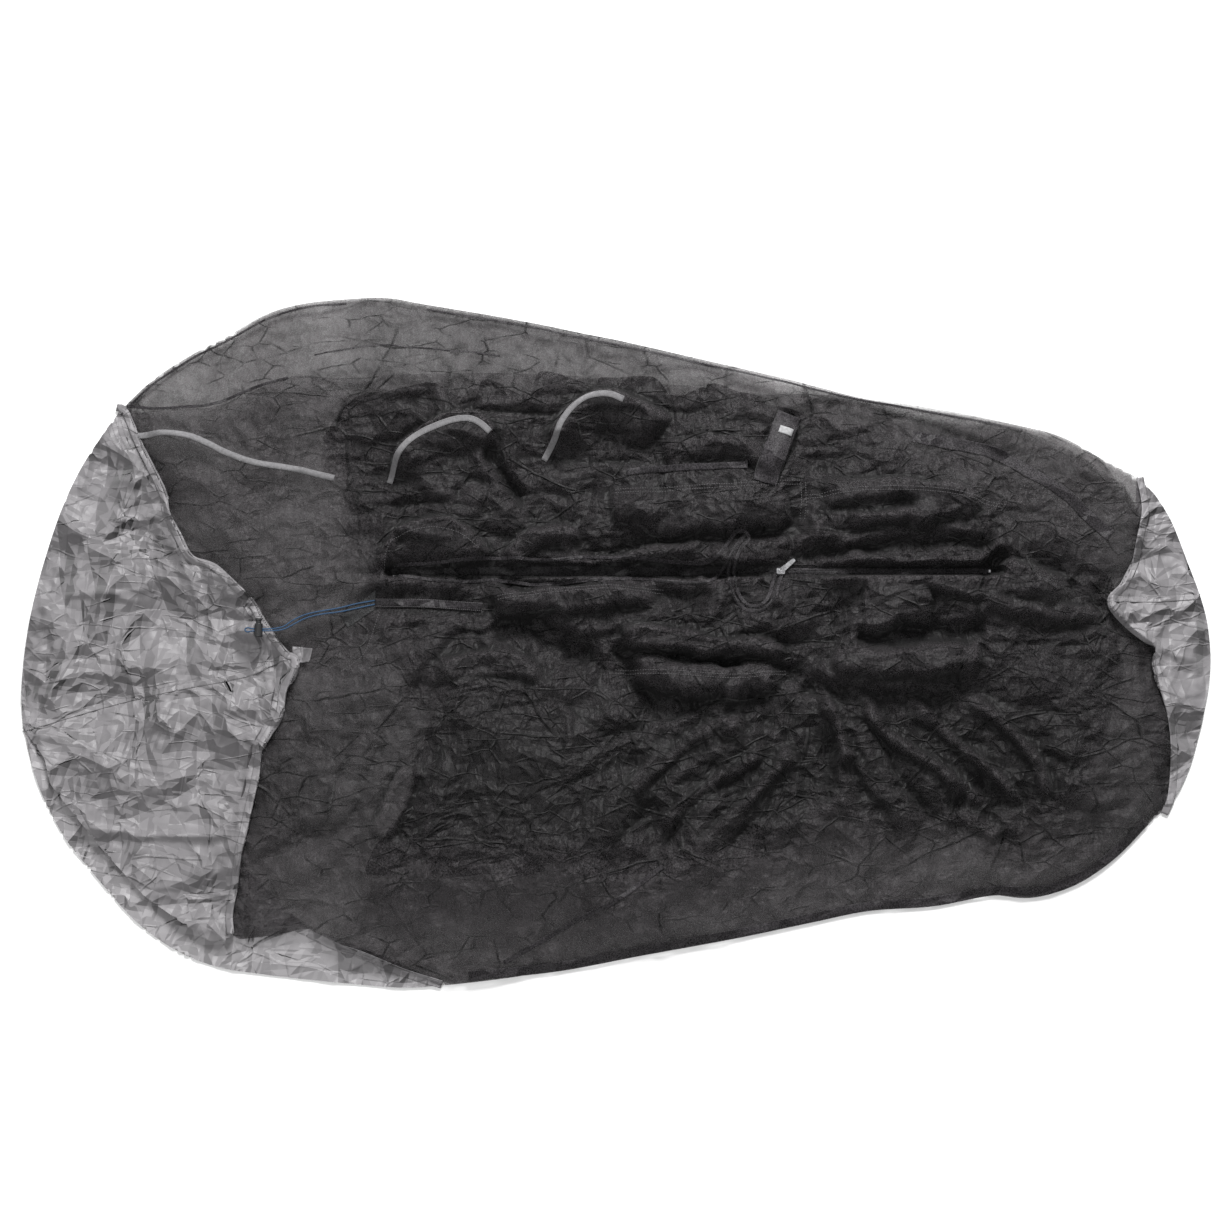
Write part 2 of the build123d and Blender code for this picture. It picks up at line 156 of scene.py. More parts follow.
def noise(p, scale, seed):
    """Smooth noise from -1 to 1 that varies over about the scale."""
    q = p / scale
    i = np.floor(q)
    f = q - i
    f = f * f * f * (f * (f * 6 - 15) + 10)
    x, y = i[:, 0], i[:, 1]
    low = lattice(x, y, seed) * (1 - f[:, 0]) + lattice(x + 1, y, seed) * f[:, 0]
    high = lattice(x, y + 1, seed) * (1 - f[:, 0]) + lattice(x + 1, y + 1, seed) * f[:, 0]
    return 2 * (low * (1 - f[:, 1]) + high * f[:, 1]) - 1


def creases(p, scale, count, seed, warp=0.5):
    """Sharp-edged crumpling: straight folds of random directions that come and go."""
    rng = np.random.default_rng(seed)
    bent = p + warp * scale * np.column_stack([noise(p, scale * 1.7, seed + k) for k in (1, 2)])
    total = np.zeros(len(p))
    for k in range(count):
        angle = rng.uniform(0, math.pi)
        width = scale * rng.uniform(0.6, 1.5)
        t = (bent @ np.array([math.cos(angle), math.sin(angle)])) / width + rng.uniform(0, 1)
        fold = np.abs(t % 1 - 0.5) * 2 - 0.5
        present = np.clip(noise(p, scale * 2.2, seed + 10 + k) * 2.2 + 0.1, 0, 1)
        total += fold * width / scale * present
    return total / math.sqrt(count)


def ease(t):
    """0 below 0, 1 above 1, and a smooth step between them."""
    t = np.clip(t, 0, 1)
    return t * t * (3 - 2 * t)


# ---------------------------------------------------------------- the loose top net's folds, in millimetres
# Rounded folds lying over the net: middle line, half width, height of the top
BANDS = [
    ([(-25, 175), (-8, 215), (60, 212), (160, 216), (250, 226), (330, 232)], 38, 50),
    ([(-238, 25), (-200, 48), (-130, 54), (-20, 60), (90, 64)], 19, 64),
    ([(-10, -10), (50, -6), (150, -17), (250, -28), (302, -52)], 17, 66),
    ([(0, -58), (100, -74), (200, -84), (292, -74)], 24, 52),
    ([(318, 100), (450, 97), (570, 92), (690, 84), (820, 78)], 30, 56),
    ([(345, -38), (450, -54), (560, -46), (650, -34)], 24, 54),
    ([(410, 38), (480, 42), (552, 46)], 36, 46),
    ([(-150, 95), (-40, 104), (60, 138), (160, 152)], 14, 52),
    ([(-60, 72), (40, 84), (130, 88), (200, 78)], 13, 47),
    ([(330, 238), (430, 242), (560, 236), (650, 214)], 26, 44),
    ([(380, 188), (520, 204), (610, 216)], 13, 46),
    ([(600, 60), (700, 40), (800, 36), (850, 55)], 18, 44),
    ([(-190, 105), (-165, 140), (-130, 163), (-85, 168), (-55, 152)], 20, 52),
    ([(60, 300), (130, 318), (200, 322), (228, 300), (218, 276)], 26, 46),
    ([(255, 262), (272, 305), (292, 345), (302, 372)], 22, 44),
    ([(-560, 300), (-480, 272), (-400, 262)], 14, 34),
    ([(-345, -225), (-372, -285), (-402, -350)], 15, 46),
    ([(-485, -330), (-456, -262), (-425, -190), (-400, -150)], 22, 40),
    ([(-300, -72), (-240, -58), (-180, -60), (-120, -78)], 20, 46),
    ([(0, -275), (70, -215), (150, -165), (230, -150)], 15, 40),
    ([(60, -330), (130, -270), (200, -225), (262, -190)], 15, 38),
    ([(150, -345), (210, -290), (270, -230), (300, -190)], 15, 38),
    ([(350, -110), (380, -160), (398, -225)], 14, 44),
    ([(420, -110), (470, -170), (560, -235), (640, -300)], 15, 42),
    ([(500, -110), (570, -170), (640, -230), (700, -300)], 13, 40),
    ([(590, -85), (650, -140), (710, -205), (740, -290)], 14, 42),
    ([(540, -300), (610, -318), (660, -345)], 16, 34),
]
# Humps with a crest along one edge: crest line, width of the gentle side on its right, height
CRESTS = [
    ([(-392, 255), (-374, 307), (-348, 338), (-311, 358), (-277, 369), (-248, 369), (-215, 346), (-195, 300)],
     120, 58),
    ([(-128, 300), (-105, 336), (-92, 368), (-70, 392), (-30, 410), (13, 402), (60, 385), (105, 366)],
     110, 56),
    ([(-404, 100), (-384, 160), (-335, 183), (-275, 178), (-232, 150), (-203, 100)], 110, 60),
    ([(-845, 352), (-785, 354), (-702, 333), (-624, 301), (-532, 285), (-470, 270)], 60, 36),
    ([(700, 300), (640, 340), (560, 375), (430, 410)], 60, 22),
]
# Long sharp creases: line, half width, depth
VALLEYS = [
    ([(-330, -100), (-255, -20), (-170, 10), (-120, -10), (-60, -35)], 30, 30),
    ([(0, -40), (150, -55), (300, -70)], 12, 30),
    ([(50, -100), (150, -118), (260, -135), (330, -190), (350, -235)], 36, 26),
    ([(-50, 150), (100, 158), (210, 178), (330, 190)], 14, 22),
    ([(300, 132), (420, 140), (540, 158), (640, 148)], 14, 24),
    ([(430, -12), (520, -8), (620, 2)], 16, 24),
    ([(330, -98), (440, -108), (570, -112)], 18, 24),
    ([(-200, 100), (-185, 85), (-120, 82), (-60, 85)], 10, 22),
    ([(-330, -190), (-345, -260), (-330, -340), (-260, -330), (-250, -260)], 46, 22),
    ([(-600, -385), (-545, -350), (-490, -335)], 22, 20),
    ([(-210, 300), (-190, 270), (-165, 240)], 16, 22),
    ([(0, -400), (90, -345), (60, -310)], 34, 16),
    ([(355, 205), (420, 238), (480, 268)], 7, 14),
]
# Heights of the slack cloth at the rim, and inside it for the net and for the nylon
EDGE_H, NET_H, NYLON_H = 3.0, 27.0, 28.0
LINE_STEP = 15
STEEP_SIDE = 9.0


def crown(p, top, steep, near, far):
    """Height of slack cloth before folds: part of the rise is near the rim, and the rest ends at far."""
    edge = off_edge(RIM, p)
    return EDGE_H + (top - EDGE_H) * (steep * ease(edge / near) + (1 - steep) * ease(edge / far))


def faded(along, share, least):
    """1 in the middle of a line, and down to the least over a share of it at each end."""
    return np.minimum(ease(along / share), ease((1 - along) / share)) * (1 - least) + least


def band_height(p, line, half_width, height):
    """Rounded fold with steep sides that fades at its ends."""
    r, _, along, _ = distance_to(smooth(line, LINE_STEP), p)
    wander = 1 + 0.25 * noise(p, 38, int(abs(line[0][0]) + half_width))
    w = half_width * wander
    top = np.sqrt(np.clip(1 - (r / (w * 1.15)) ** 2, 0, 1)) ** 0.7
    return height * top * faded(along, 0.16, 0.25)


def crest_height(p, line, width, height):
    """Hump whose edge on the left is steep and whose right side slopes off gently."""
    r, _, along, side = distance_to(smooth(line, LINE_STEP), p)
    gentle = np.exp(-(r / (0.62 * width)) ** 2)
    steep = np.exp(-(r / STEEP_SIDE) ** 2)
    return height * faded(along, 0.2, 0.2) * np.where(side < 0, gentle, steep)


def top_height(p):
    """The top net's height with its folds, humps and valleys, in millimetres."""
    base = crown(p, NET_H, 0.35, 45, 210)
    h = base + 6 * noise(p, 130, 5) + 3 * noise(p, 60, 6)
    for line, width, height in CRESTS:
        h = np.maximum(h, base * 0.4 + crest_height(p, line, width, height))
    for line, half_width, depth in VALLEYS:
        r = off_line(smooth(line, LINE_STEP), p)
        h = h - depth * np.exp(-(r / half_width) ** 2) * np.clip(base / NET_H, 0, 1)
    for line, half_width, height in BANDS:
        h = np.maximum(h, band_height(p, line, half_width, height))
    return np.maximum(h, EDGE_H)


# ---------------------------------------------------------------- meshes
SNAP = 0.62


def add_object(name, data):
    obj = bpy.data.objects.new(name, data)
    bpy.context.collection.objects.link(obj)
    return obj


def cloth_grid(region, cell):
    """Grid of squares that fills a closed plan region, its outer corners moved onto the region's edge."""
    low, high = region.min(0) - cell, region.max(0) + cell
    nx, ny = (np.ceil((high - low) / cell) + 1).astype(int)
    gx, gy = np.meshgrid(low[0] + cell * np.arange(nx), low[1] + cell * np.arange(ny), indexing="ij")
    p = np.column_stack([gx.ravel(), gy.ravel()])
    within = inside(region, p)
    r, nearest, _, _ = distance_to(region, p, closed=True)
    snap = r < SNAP * cell
    p = np.where(snap[:, None], nearest, p)
    index = np.arange(nx * ny).reshape(nx, ny)
    quads = np.stack([index[:-1, :-1], index[1:, :-1], index[1:, 1:], index[:-1, 1:]], -1).reshape(-1, 4)
    quads = quads[(within | snap)[quads].all(1)]
    quads = quads[inside(region, p[quads].mean(1))]
    used, quads = np.unique(quads, return_inverse=True)
    return p[used], quads.reshape(-1, 4)


def new_mesh(name, verts, faces, material):
    """Smooth-shaded mesh object from points in millimetres."""
    mesh = bpy.data.meshes.new(name)
    verts = np.asarray(verts, float) * MM
    mesh.from_pydata(verts.tolist(), [], [list(map(int, f)) for f in faces])
    mesh.materials.append(material)
    mesh.polygons.foreach_set("use_smooth", [True] * len(mesh.polygons))
    mesh.update()
    return add_object(name, mesh)


def place(obj, replaced=()):
    """Puts a piece on the bag, in place of some CAD nodes."""
    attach(obj, "bag")
    if replaced:
        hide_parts(*replaced)
    return obj


# ---------------------------------------------------------------- materials
def shade(colour, factor=1.0):
    return [c * factor for c in colour] + [1]


class Nodes:
    """Short way to build a node material."""

    def __init__(self, name):
        self.material = bpy.data.materials.new(name)
        self.material.use_nodes = True
        self.tree = self.material.node_tree
        self.shader = self.tree.nodes["Principled BSDF"]
        self.position = self.add("TexCoord").outputs["Object"]

    def plug(self, socket, value):
        """Links a node's output to a socket, or sets the socket's value."""
        if isinstance(value, bpy.types.NodeSocket):
            self.tree.links.new(value, socket)
        else:
            socket.default_value = value

    def add(self, kind, inputs=None, **settings):
        node = self.tree.nodes.new("ShaderNode" + kind)
        for key, value in settings.items():
            setattr(node, key, value)
        for key, value in (inputs or {}).items():
            self.plug(node.inputs[key], value)
        return node

    def math(self, operation, a, b=0.0, clamp=False):
        return self.add("Math", {0: a, 1: b}, operation=operation, use_clamp=clamp).outputs[0]

    def noise(self, scale, detail=2.0, rough=0.5):
        return self.add("TexNoise", {"Vector": self.position, "Scale": scale, "Detail": detail,
                                     "Roughness": rough}).outputs["Fac"]

    def ramp(self, value, low, high, a, b):
        """From a at low to b at high."""
        return self.add("MapRange", {"Value": value, "From Min": low, "From Max": high, "To Min": a,
                                     "To Max": b}).outputs["Result"]

    def mix(self, factor, a, b):
        return self.add("Mix", {0: factor, 6: a, 7: b}, data_type="RGBA").outputs[2]

    def tint(self, value, low, high, colour, dark, light):
        """The colour, darkened where the value is low and lightened where it is high."""
        return self.mix(self.ramp(value, low, high, 0.0, 1.0), shade(colour, dark), shade(colour, light))

    def wave(self, scale, distortion, vector=None, detail=2.0, **settings):
        node = self.add("TexWave", {"Vector": vector or self.position, "Scale": scale,
                                    "Distortion": distortion, "Detail": detail}, **settings)
        return node.outputs["Fac"]

    def cells(self, scale, drift_scale, detail, swing, turn, stretch=(1, 1, 1), **settings):
        """Distances in a flat pattern of cells, shifted by a drifting noise and turned."""
        noise_inputs = {"Vector": self.position, "Scale": drift_scale, "Detail": detail}
        drift = self.add("TexNoise", noise_inputs).outputs["Color"]
        shift = self.add("VectorMath", {0: drift, "Scale": swing}, operation="SCALE").outputs[0]
        moved = self.add("VectorMath", {0: self.position, 1: shift}, operation="ADD").outputs[0]
        turned = self.add("Mapping", {"Vector": moved, "Rotation": (0, 0, turn), "Scale": stretch})
        return self.add("TexVoronoi", {"Vector": turned.outputs[0], "Scale": scale},
                        voronoi_dimensions="2D", **settings).outputs["Distance"]

    def bump(self, height, strength, distance, normal=None):
        inputs = {"Height": height, "Strength": strength, "Distance": distance}
        if normal:
            inputs["Normal"] = normal
        return self.add("Bump", inputs).outputs["Normal"]

    def set(self, **values):
        """Plugs the shader's inputs by name, with _ for each space."""
        for key, value in values.items():
            self.plug(self.shader.inputs[key.replace("_", " ")], value)
        return self.material


def crumple(n, scale, slope, facets):
    """Bump of flat crumpled facets in a few sizes."""
    normal = None
    for k, size in enumerate(facets):
        step = scale * size
        facet = n.cells(step, scale * 0.5, 1.0, 0.9 / scale, 1.1 * k + 0.4,
                        distance=("CHEBYCHEV", "MANHATTAN")[k % 2])
        normal = n.bump(facet, 1.0, slope / step / (1 + 0.3 * k), normal)
    return normal


def crease_lines(n, scale, width, turn):
    """1 along thin sharp creases that come and go, 0 between them."""
    edge = n.cells(scale, scale * 1.3, 2.0, 0.22 / scale, turn, (0.7, 1.3, 1), feature="DISTANCE_TO_EDGE")
    line = n.ramp(edge, 0.0, width, 1.0, 0.0)
    return n.math("MULTIPLY", line, n.ramp(n.noise(scale * 1.1, 1.0), 0.45, 0.62, 0.0, 0.9))


def net_material(name, alpha, colour, slope, facets=(1.0,), gathered=False):
    """Knitted insect net: sheer, matt, finely speckled and crumpled. Gathered net has painted shade: darker
    along thin crease lines and deep in its folds and hollows, lighter on crests.
    """
    n = Nodes(name)
    grain = n.noise(380.0, 1.0, 0.6)
    tint = n.tint(grain, 0.32, 0.68, colour, 0.4, 1.7)
    normal = crumple(n, 16.0, slope, facets)
    cover = n.math("ADD", n.ramp(grain, 0.32, 0.68, alpha - 0.12, alpha + 0.12),
                   n.ramp(n.noise(7.0, 3.0, 0.6), 0.3, 0.7, -0.05, 0.05), True)
    if gathered:
        # Painted shade: a near-black copy of the net's colour for its creases and hollows.
        dark = shade(colour, 0.12)
        fold = n.math("MAXIMUM", crease_lines(n, 9.0, 0.03, 0.3), crease_lines(n, 21.0, 0.045, 1.7))
        painted_shade = n.add("Attribute", attribute_name="painted_shade").outputs["Fac"]
        # Painted shade: the colour is darkened along the crease lines and where the stored painted shade is
        # high.
        tint = n.mix(n.ramp(painted_shade, -0.7, 0.9, 0.0, 1.0), n.mix(fold, tint, dark), dark)
        normal = n.bump(fold, 1.0, 0.004, normal)
        # Painted shade in the opacity too: more opaque along the crease lines and in hollows, more sheer on
        # crests, which paints the crests lighter.
        cover = n.math("ADD", cover, n.math("MULTIPLY", fold, 0.42), True)
        cover = n.math("ADD", cover, n.ramp(painted_shade, 0.0, 1.0, 0.0, 0.4), True)
        cover = n.math("ADD", cover, n.ramp(painted_shade, -1.2, -0.2, -0.16, 0.0))
    return n.set(Base_Color=tint, Roughness=0.6, Normal=normal, Alpha=cover, Specular_IOR_Level=0.2,
                 Sheen_Weight=0.05, Sheen_Roughness=0.5)


def nylon_material(name, colour):
    """Crinkled coated ripstop nylon: satin, with sharp facets and a fine weave, and painted shade along thin
    crease lines.
    """
    n = Nodes(name)
    fold = n.math("MAXIMUM", crease_lines(n, 8.0, 0.022, 0.9), crease_lines(n, 19.0, 0.04, 2.3))
    tint = n.tint(n.noise(5.0, 3.0, 0.6), 0.3, 0.7, colour, 0.92, 1.06)
    normal = n.bump(fold, 1.0, 0.0012, crumple(n, 9.0, 0.4, (0.7, 1.7, 4.4)))
    # Painted shade: the colour darkened to three quarters along the crease lines.
    return n.set(Base_Color=n.mix(fold, tint, shade(colour, 0.75)), Sheen_Weight=0.1,
                 Roughness=n.ramp(n.noise(60.0), 0.3, 0.7, 0.46, 0.6),
                 Normal=n.bump(n.wave(380.0, 0.4), 0.15, 0.0003, normal))


def woven_material(name, colour, pitch=700.0, roughness=0.8):
    """Woven tape or thread with a lengthwise rib."""
    n = Nodes(name)
    return n.set(Base_Color=n.tint(n.noise(250.0), 0.3, 0.7, colour, 0.8, 1.15), Roughness=roughness,
                 Normal=n.bump(n.wave(pitch, 1.5), 0.4, 0.0004))


def plastic_material(name, colour, roughness):
    """Moulded plastic with a fine spark-eroded grain and a tone that varies at random."""
    n = Nodes(name)
    grain = n.noise(1800.0, 3.0, 0.6)
    return n.set(Base_Color=n.tint(n.noise(120.0), 0.35, 0.7, colour, 0.8, 1.5),
                 Roughness=n.ramp(grain, 0.3, 0.7, roughness - 0.08, roughness + 0.08),
                 Normal=n.bump(grain, 0.2, 0.0002))


def metal_material(name, colour, roughness):
    """Cast and plated metal with small scratches."""
    n = Nodes(name)
    scratch = n.wave(400.0, 12.0, detail=3.0)
    return n.set(Base_Color=n.tint(scratch, 0.2, 0.9, colour, 0.8, 1.05), Metallic=1.0,
                 Roughness=n.ramp(n.noise(220.0), 0.3, 0.7, roughness - 0.1, roughness + 0.12),
                 Normal=n.bump(scratch, 0.12, 0.0002))


def braid_material(name, colour, fleck):
    """Braided cord: strands that slant both ways, with darker flecks between them."""
    n = Nodes(name)
    mirrored = n.add("VectorMath", {0: n.position, 1: (1, -1, 1)}, operation="MULTIPLY").outputs[0]
    strands = [n.wave(420.0, 1.0, vector, bands_direction="DIAGONAL") for vector in (n.position, mirrored)]
    weave = n.math("MULTIPLY", *strands)
    return n.set(Base_Color=n.mix(n.ramp(weave, 0.05, 0.5, 0.0, 1.0), shade(fleck), shade(colour)),
                 Roughness=0.6, Normal=n.bump(weave, 0.6, 0.0004))


def mesh_material(name):
    """Coarse black mesh with open holes."""
    n = Nodes(name)
    cells = n.add("TexVoronoi", {"Vector": n.position, "Scale": 330.0}, feature="DISTANCE_TO_EDGE")
    edge = cells.outputs["Distance"]
    return n.set(Base_Color=(0.012, 0.012, 0.013, 1), Roughness=0.6, Alpha=n.ramp(edge, 0.16, 0.2, 1.0, 0.15),
                 Normal=n.bump(edge, 0.5, 0.0008))


def floor_material(name):
    n = Nodes(name)
    return n.set(Base_Color=n.tint(n.noise(2.0), 0.3, 0.7, (1, 1, 1), 0.9, 0.93), Roughness=0.9)


NET = net_material("top_net", 0.58, (0.034, 0.0306, 0.0328), 0.34, (0.9, 2.4, 6.0), gathered=True)
FLOOR_NET = net_material("floor_net", 0.44, (0.078, 0.064, 0.067), 0.3)
FOLDED_NET = net_material("folded_net", 0.5, (0.028, 0.025, 0.027), 0.5)
# The deep net is nearly opaque for the many layers bunched there; its colour, a quarter of the top net's, is
# painted shade.
DEEP_NET = net_material("deep_net", 0.95, (0.009, 0.0083, 0.009), 0.5)
TAPE_NET = net_material("net_tape", 0.9, (0.02, 0.018, 0.02), 0.4)
COARSE = mesh_material("coarse_mesh")
NYLON = nylon_material("grey_nylon", (0.172, 0.165, 0.172))
NYLON_INSIDE = nylon_material("coated_nylon_inside", (0.235, 0.227, 0.235))
THREAD = woven_material("thread", (0.085, 0.082, 0.085))
DARK_THREAD = woven_material("dark_thread", (0.03, 0.029, 0.03))
TAPE = woven_material("grey_binding", (0.15, 0.147, 0.152), 900.0, 0.85)
COIL_PLASTIC = woven_material("zip_coil", (0.022, 0.021, 0.022), 2000.0, 0.45)
LABEL_CLOTH = woven_material("label_cloth", (0.3, 0.3, 0.305), 1400.0, 0.7)
LABEL_EDGE = woven_material("label_edge", (0.12, 0.12, 0.125), 1400.0, 0.7)
CORD_BLUE = braid_material("blue_braid", (0.015, 0.085, 0.19), (0.006, 0.02, 0.05))
BLACK_PLASTIC = plastic_material("lock_black", (0.012, 0.012, 0.013), 0.42)
SLIDER_METAL = metal_material("slider_metal", (0.62, 0.62, 0.64), 0.3)
SPRING_METAL = metal_material("spring_metal", (0.5, 0.5, 0.52), 0.35)

# ---------------------------------------------------------------- camera, lights and floor
LOOK_AT = Vector((-0.005, 0.043, 0.0))
ELEVATION = math.radians(84)
DISTANCE = 4.5
FRAME_WIDTH = 2.1156
camera = add_object("camera", bpy.data.cameras.new("camera"))
camera.data.lens = camera.data.sensor_width * DISTANCE / FRAME_WIDTH
camera.location = LOOK_AT + DISTANCE * Vector((0, -math.cos(ELEVATION), math.sin(ELEVATION)))
camera.rotation_euler = (math.pi / 2 - ELEVATION, 0, 0)
bpy.context.scene.camera = camera
bpy.context.scene.view_settings.view_transform = "Standard"


def area_light(name, where, power, size):
    """Soft light that points at the middle of the bag."""
    light = bpy.data.lights.new(name, "AREA")
    light.energy, light.size = power, size
    obj = add_object(name, light)
    obj.location = where
    obj.rotation_euler = (-Vector(where)).to_track_quat("-Z", "Y").to_euler()


area_light("far_light", (0.5, 3.2, 2.3), power=290, size=1.3)
area_light("near_light", (-1.6, -1.4, 3.4), power=60, size=2.5)
SKY_STRENGTH = 0.42
world = bpy.data.worlds.new("world")
world.use_nodes = True
sky = world.node_tree.nodes["Background"].inputs
sky["Color"].default_value, sky["Strength"].default_value = (1, 1, 1, 1), SKY_STRENGTH
bpy.context.scene.world = world

GROUND_HALF = 9000
corners = [(x * GROUND_HALF, y * GROUND_HALF, -1) for x, y in ((-1, -1), (1, -1), (1, 1), (-1, 1))]
ground = new_mesh("ground", corners, [(0, 1, 2, 3)], floor_material("floor"))

# ---------------------------------------------------------------- drawcord, along its CAD tube's route
CORD_D, CORD_LENGTH = 0.0024, 0.468
CORD_ROUTE = [
    (-0.411, 0.0615, 0.0322), (-0.441, 0.057, 0.0322), (-0.474, 0.048, 0.0322), (-0.506, 0.043, 0.0322),
    (-0.532, 0.0375, 0.0328), (-0.554, 0.027, 0.0352), (-0.572, 0.0119, 0.0382), (-0.622, 0.0113, 0.0382),
    (-0.630, 0.0145, 0.0382), (-0.6355, 0.0105, 0.0382), (-0.6305, 0.0056, 0.0382), (-0.622, 0.0087, 0.0382),
    (-0.572, 0.0081, 0.0382), (-0.552, 0.020, 0.0342), (-0.530, 0.0322, 0.0322), (-0.503, 0.0382, 0.0322),
    (-0.472, 0.0415, 0.0322), (-0.442, 0.0485, 0.0322), (-0.411, 0.055, 0.0322),
]
curve = bpy.data.curves.new("drawcord_braid", "CURVE")
curve.dimensions = "3D"
curve.bevel_depth, curve.bevel_resolution, curve.resolution_u = CORD_D / 2, 5, 10
spline = curve.splines.new("NURBS")
spline.points.add(len(CORD_ROUTE) - 1)
for point, where in zip(spline.points, CORD_ROUTE):
    point.co = (*where, 1)
spline.order_u, spline.use_endpoint_u = 3, True
curve.materials.append(CORD_BLUE)
cord = place(add_object("drawcord_braid", curve), ["drawcord"])

# ---------------------------------------------------------------- cloth, in millimetres
HEAD_EDGE = smooth(HEAD_HEM, 12)
FOOT_EDGE = smooth(FOOT_HEM, 12)
HOOD_FOLD = [(-660, -517), (-689, -519), (-725, -496), (-804, -442), (-868, -373), (-968, -252), (-978, -209),
             (-1016, -158)]
HOOD_FLOOR_EDGE = [(-760, 150), (-700, -150), (-640, -390), (-528, -495), (-400, -543)]
CHANNEL_LINE = [(-413, 57.5), (-370, 57), (-320, 56), (-275, 53), (-230, 50)]


def cad_box(node):
    """Lowest and highest corner of a CAD node, to a tenth of a millimetre."""
    return [np.round([v / MM for v in corner], 1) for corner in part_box(node)]


SLIDER_X, ZIP_Y = sum(cad_box("zip_slider"))[:2] / 2
ZIP_HEAD_X, ZIP_FOOT_X = (corner[0] for corner in cad_box("zip_coil_far"))
MOUTH_HALF = 9


def rest_on(h, p, line, clearance, level, slope):
    """Brings the cloth to the height of something solid that lies on it, with a slope beside it."""
    near = 1 - ease((off_line(line, p) - clearance) / slope)
    return h * (1 - near) + level * near


# Lines of the solid things on the cloth: the pull lies two ways at its rest place and one at the foot stop
CORD_LINE = [(x / MM, y / MM) for x, y, _ in CORD_ROUTE[:7]]
LOCK_LINE = [(-636, 9), (-586, 10)]
ZIP_LINE = [(ZIP_HEAD_X - 10, ZIP_Y), (ZIP_FOOT_X + 12, ZIP_Y)]
OPEN_LINE = [(ZIP_HEAD_X - 6, ZIP_Y), (SLIDER_X, ZIP_Y)]
CLOSED_LINE = [(SLIDER_X - 10, ZIP_Y), (ZIP_FOOT_X + 12, ZIP_Y)]
PULL_LINES = [[(x, ZIP_Y), (x + tip_x, ZIP_Y + tip_y)] for x, tip_x, tip_y in
              ((SLIDER_X, 26, 24), (SLIDER_X, -26, -22), (ZIP_FOOT_X - 8, 26, 24))]
# Clearance beside each, height of the cloth under it, and width of the slope beside it
ON_NET = [(CLOSED_LINE, 4, 29.4, 13), *((line, 6, 28.6, 13) for line in PULL_LINES),
          (CHANNEL_LINE, 9, 29.6, 24), (CORD_LINE, 6, 30.2, 24)]
ON_NYLON = [(LOCK_LINE, 9, 28.4, 12)]
MOUTH_H, MOUTH_SLOPE = 25.5, 8
# Highest that the folds reach
NET_TOP, NYLON_TOP = 80, 60
HEM_DIP, HEM_REACH = 0.5, 34
FAN_CENTRE = np.array([316.0, -58.0])
FAN_R = 150


def settle(h, p):
    """Net height after the solid things on it have been given their places."""
    h = rest_on(h, p, OPEN_LINE, 5 + 7 * np.abs(noise(p, 42, 8)), MOUTH_H, MOUTH_SLOPE)
    for place_on in ON_NET:
        h = rest_on(h, p, *place_on)
    return np.clip(h, 2.6 + 1.2 * noise(p, 30, 3), NET_TOP)


def billow(t):
    """Rounded folds side by side with sharp valleys between them, one per unit."""
    return np.sqrt(np.clip(1 - (2 * (t % 1) - 1) ** 2, 0, 1)) - 0.75


def long_folds(p, width, seed):
    """Folds along the bag that wander, join and part."""
    stretched = p * np.array([0.3, 1.0])
    sway = 1.1 * noise(stretched, 1.7 * width, seed) + 0.35 * noise(stretched, 0.7 * width, seed + 1)
    present = np.clip(0.75 + 0.6 * noise(stretched, 1.4 * width, seed + 2), 0.2, 1.2)
    return billow(p[:, 1] / width + sway) * present


def fan(p, pitch, seed):
    """Long folds that spread from the place where the net is bunched together."""
    d = p - FAN_CENTRE
    r = np.hypot(*d.T)
    turn = np.arctan2(d[:, 1], d[:, 0]) + 0.2 * noise(p, 130, seed) + 0.05 * noise(p, 50, seed + 1)
    present = np.clip(noise(p, 90, seed + 2) * 0.8 + 0.8, 0.3, 1.2)
    size = np.clip(r / FAN_R, 0.35, 1.7) * (1 - 0.8 * ease((r - 2 * FAN_R) / 220))
    return billow(turn * FAN_R / pitch) * present * size


def gathers(p):
    """Folds of the slack net: along the bag on its far half, fanning out on its near half."""
    lengthwise = ease((p[:, 1] + 70) / 70)
    along_bag = 9 * long_folds(p, 72, 21) + 3 * long_folds(p, 32, 31)
    spread = 11 * fan(p, 50, 25) + 4 * fan(p, 23, 35)
    return lengthwise * along_bag + (1 - lengthwise) * spread


def net_top_height(p):
    """The top net's height before it is draped: large folds, gathers and what lies on it."""
    fade = ease(off_edge(RIM, p) / 60)
    full = 1 - net_calm(p)
    h = top_height(p)
    calm_folds = 7 * creases(p, 120, 5, 23, 0.25) + 3.5 * creases(p, 55, 4, 33, 0.25)
    h = h + fade * (full * gathers(p) + (1 - full) * calm_folds)
    for hem in (HEAD_EDGE, FOOT_EDGE):
        h = h * (1 - HEM_DIP * np.exp(-(off_line(hem, p) / HEM_REACH) ** 2))
    return settle(h, p)


def settle_nylon(h, p):
    """Nylon height after the cord lock on it has been given its place."""
    for place_on in ON_NYLON:
        h = rest_on(h, p, *place_on)
    return np.clip(h, 3.5 + 1.5 * noise(p, 30, 4), NYLON_TOP)


def nylon_height(p):
    """The nylon tops' height before they are draped."""
    fade = ease(off_edge(RIM, p) / 45)
    h = crown(p, NYLON_H, 0.3, 30, 150)
    h = h + fade * (9 * creases(p, 150, 4, 51) + 3 * creases(p, 90, 4, 61, warp=0.3))
    return settle_nylon(h, p)


def floor_height(p):
    """The under side's height: nearly flat, with faint creases."""
    return 1.0 + 0.5 * np.clip(creases(p, 60, 4, 91) + 0.5 * creases(p, 25, 4, 95), -1, 2)


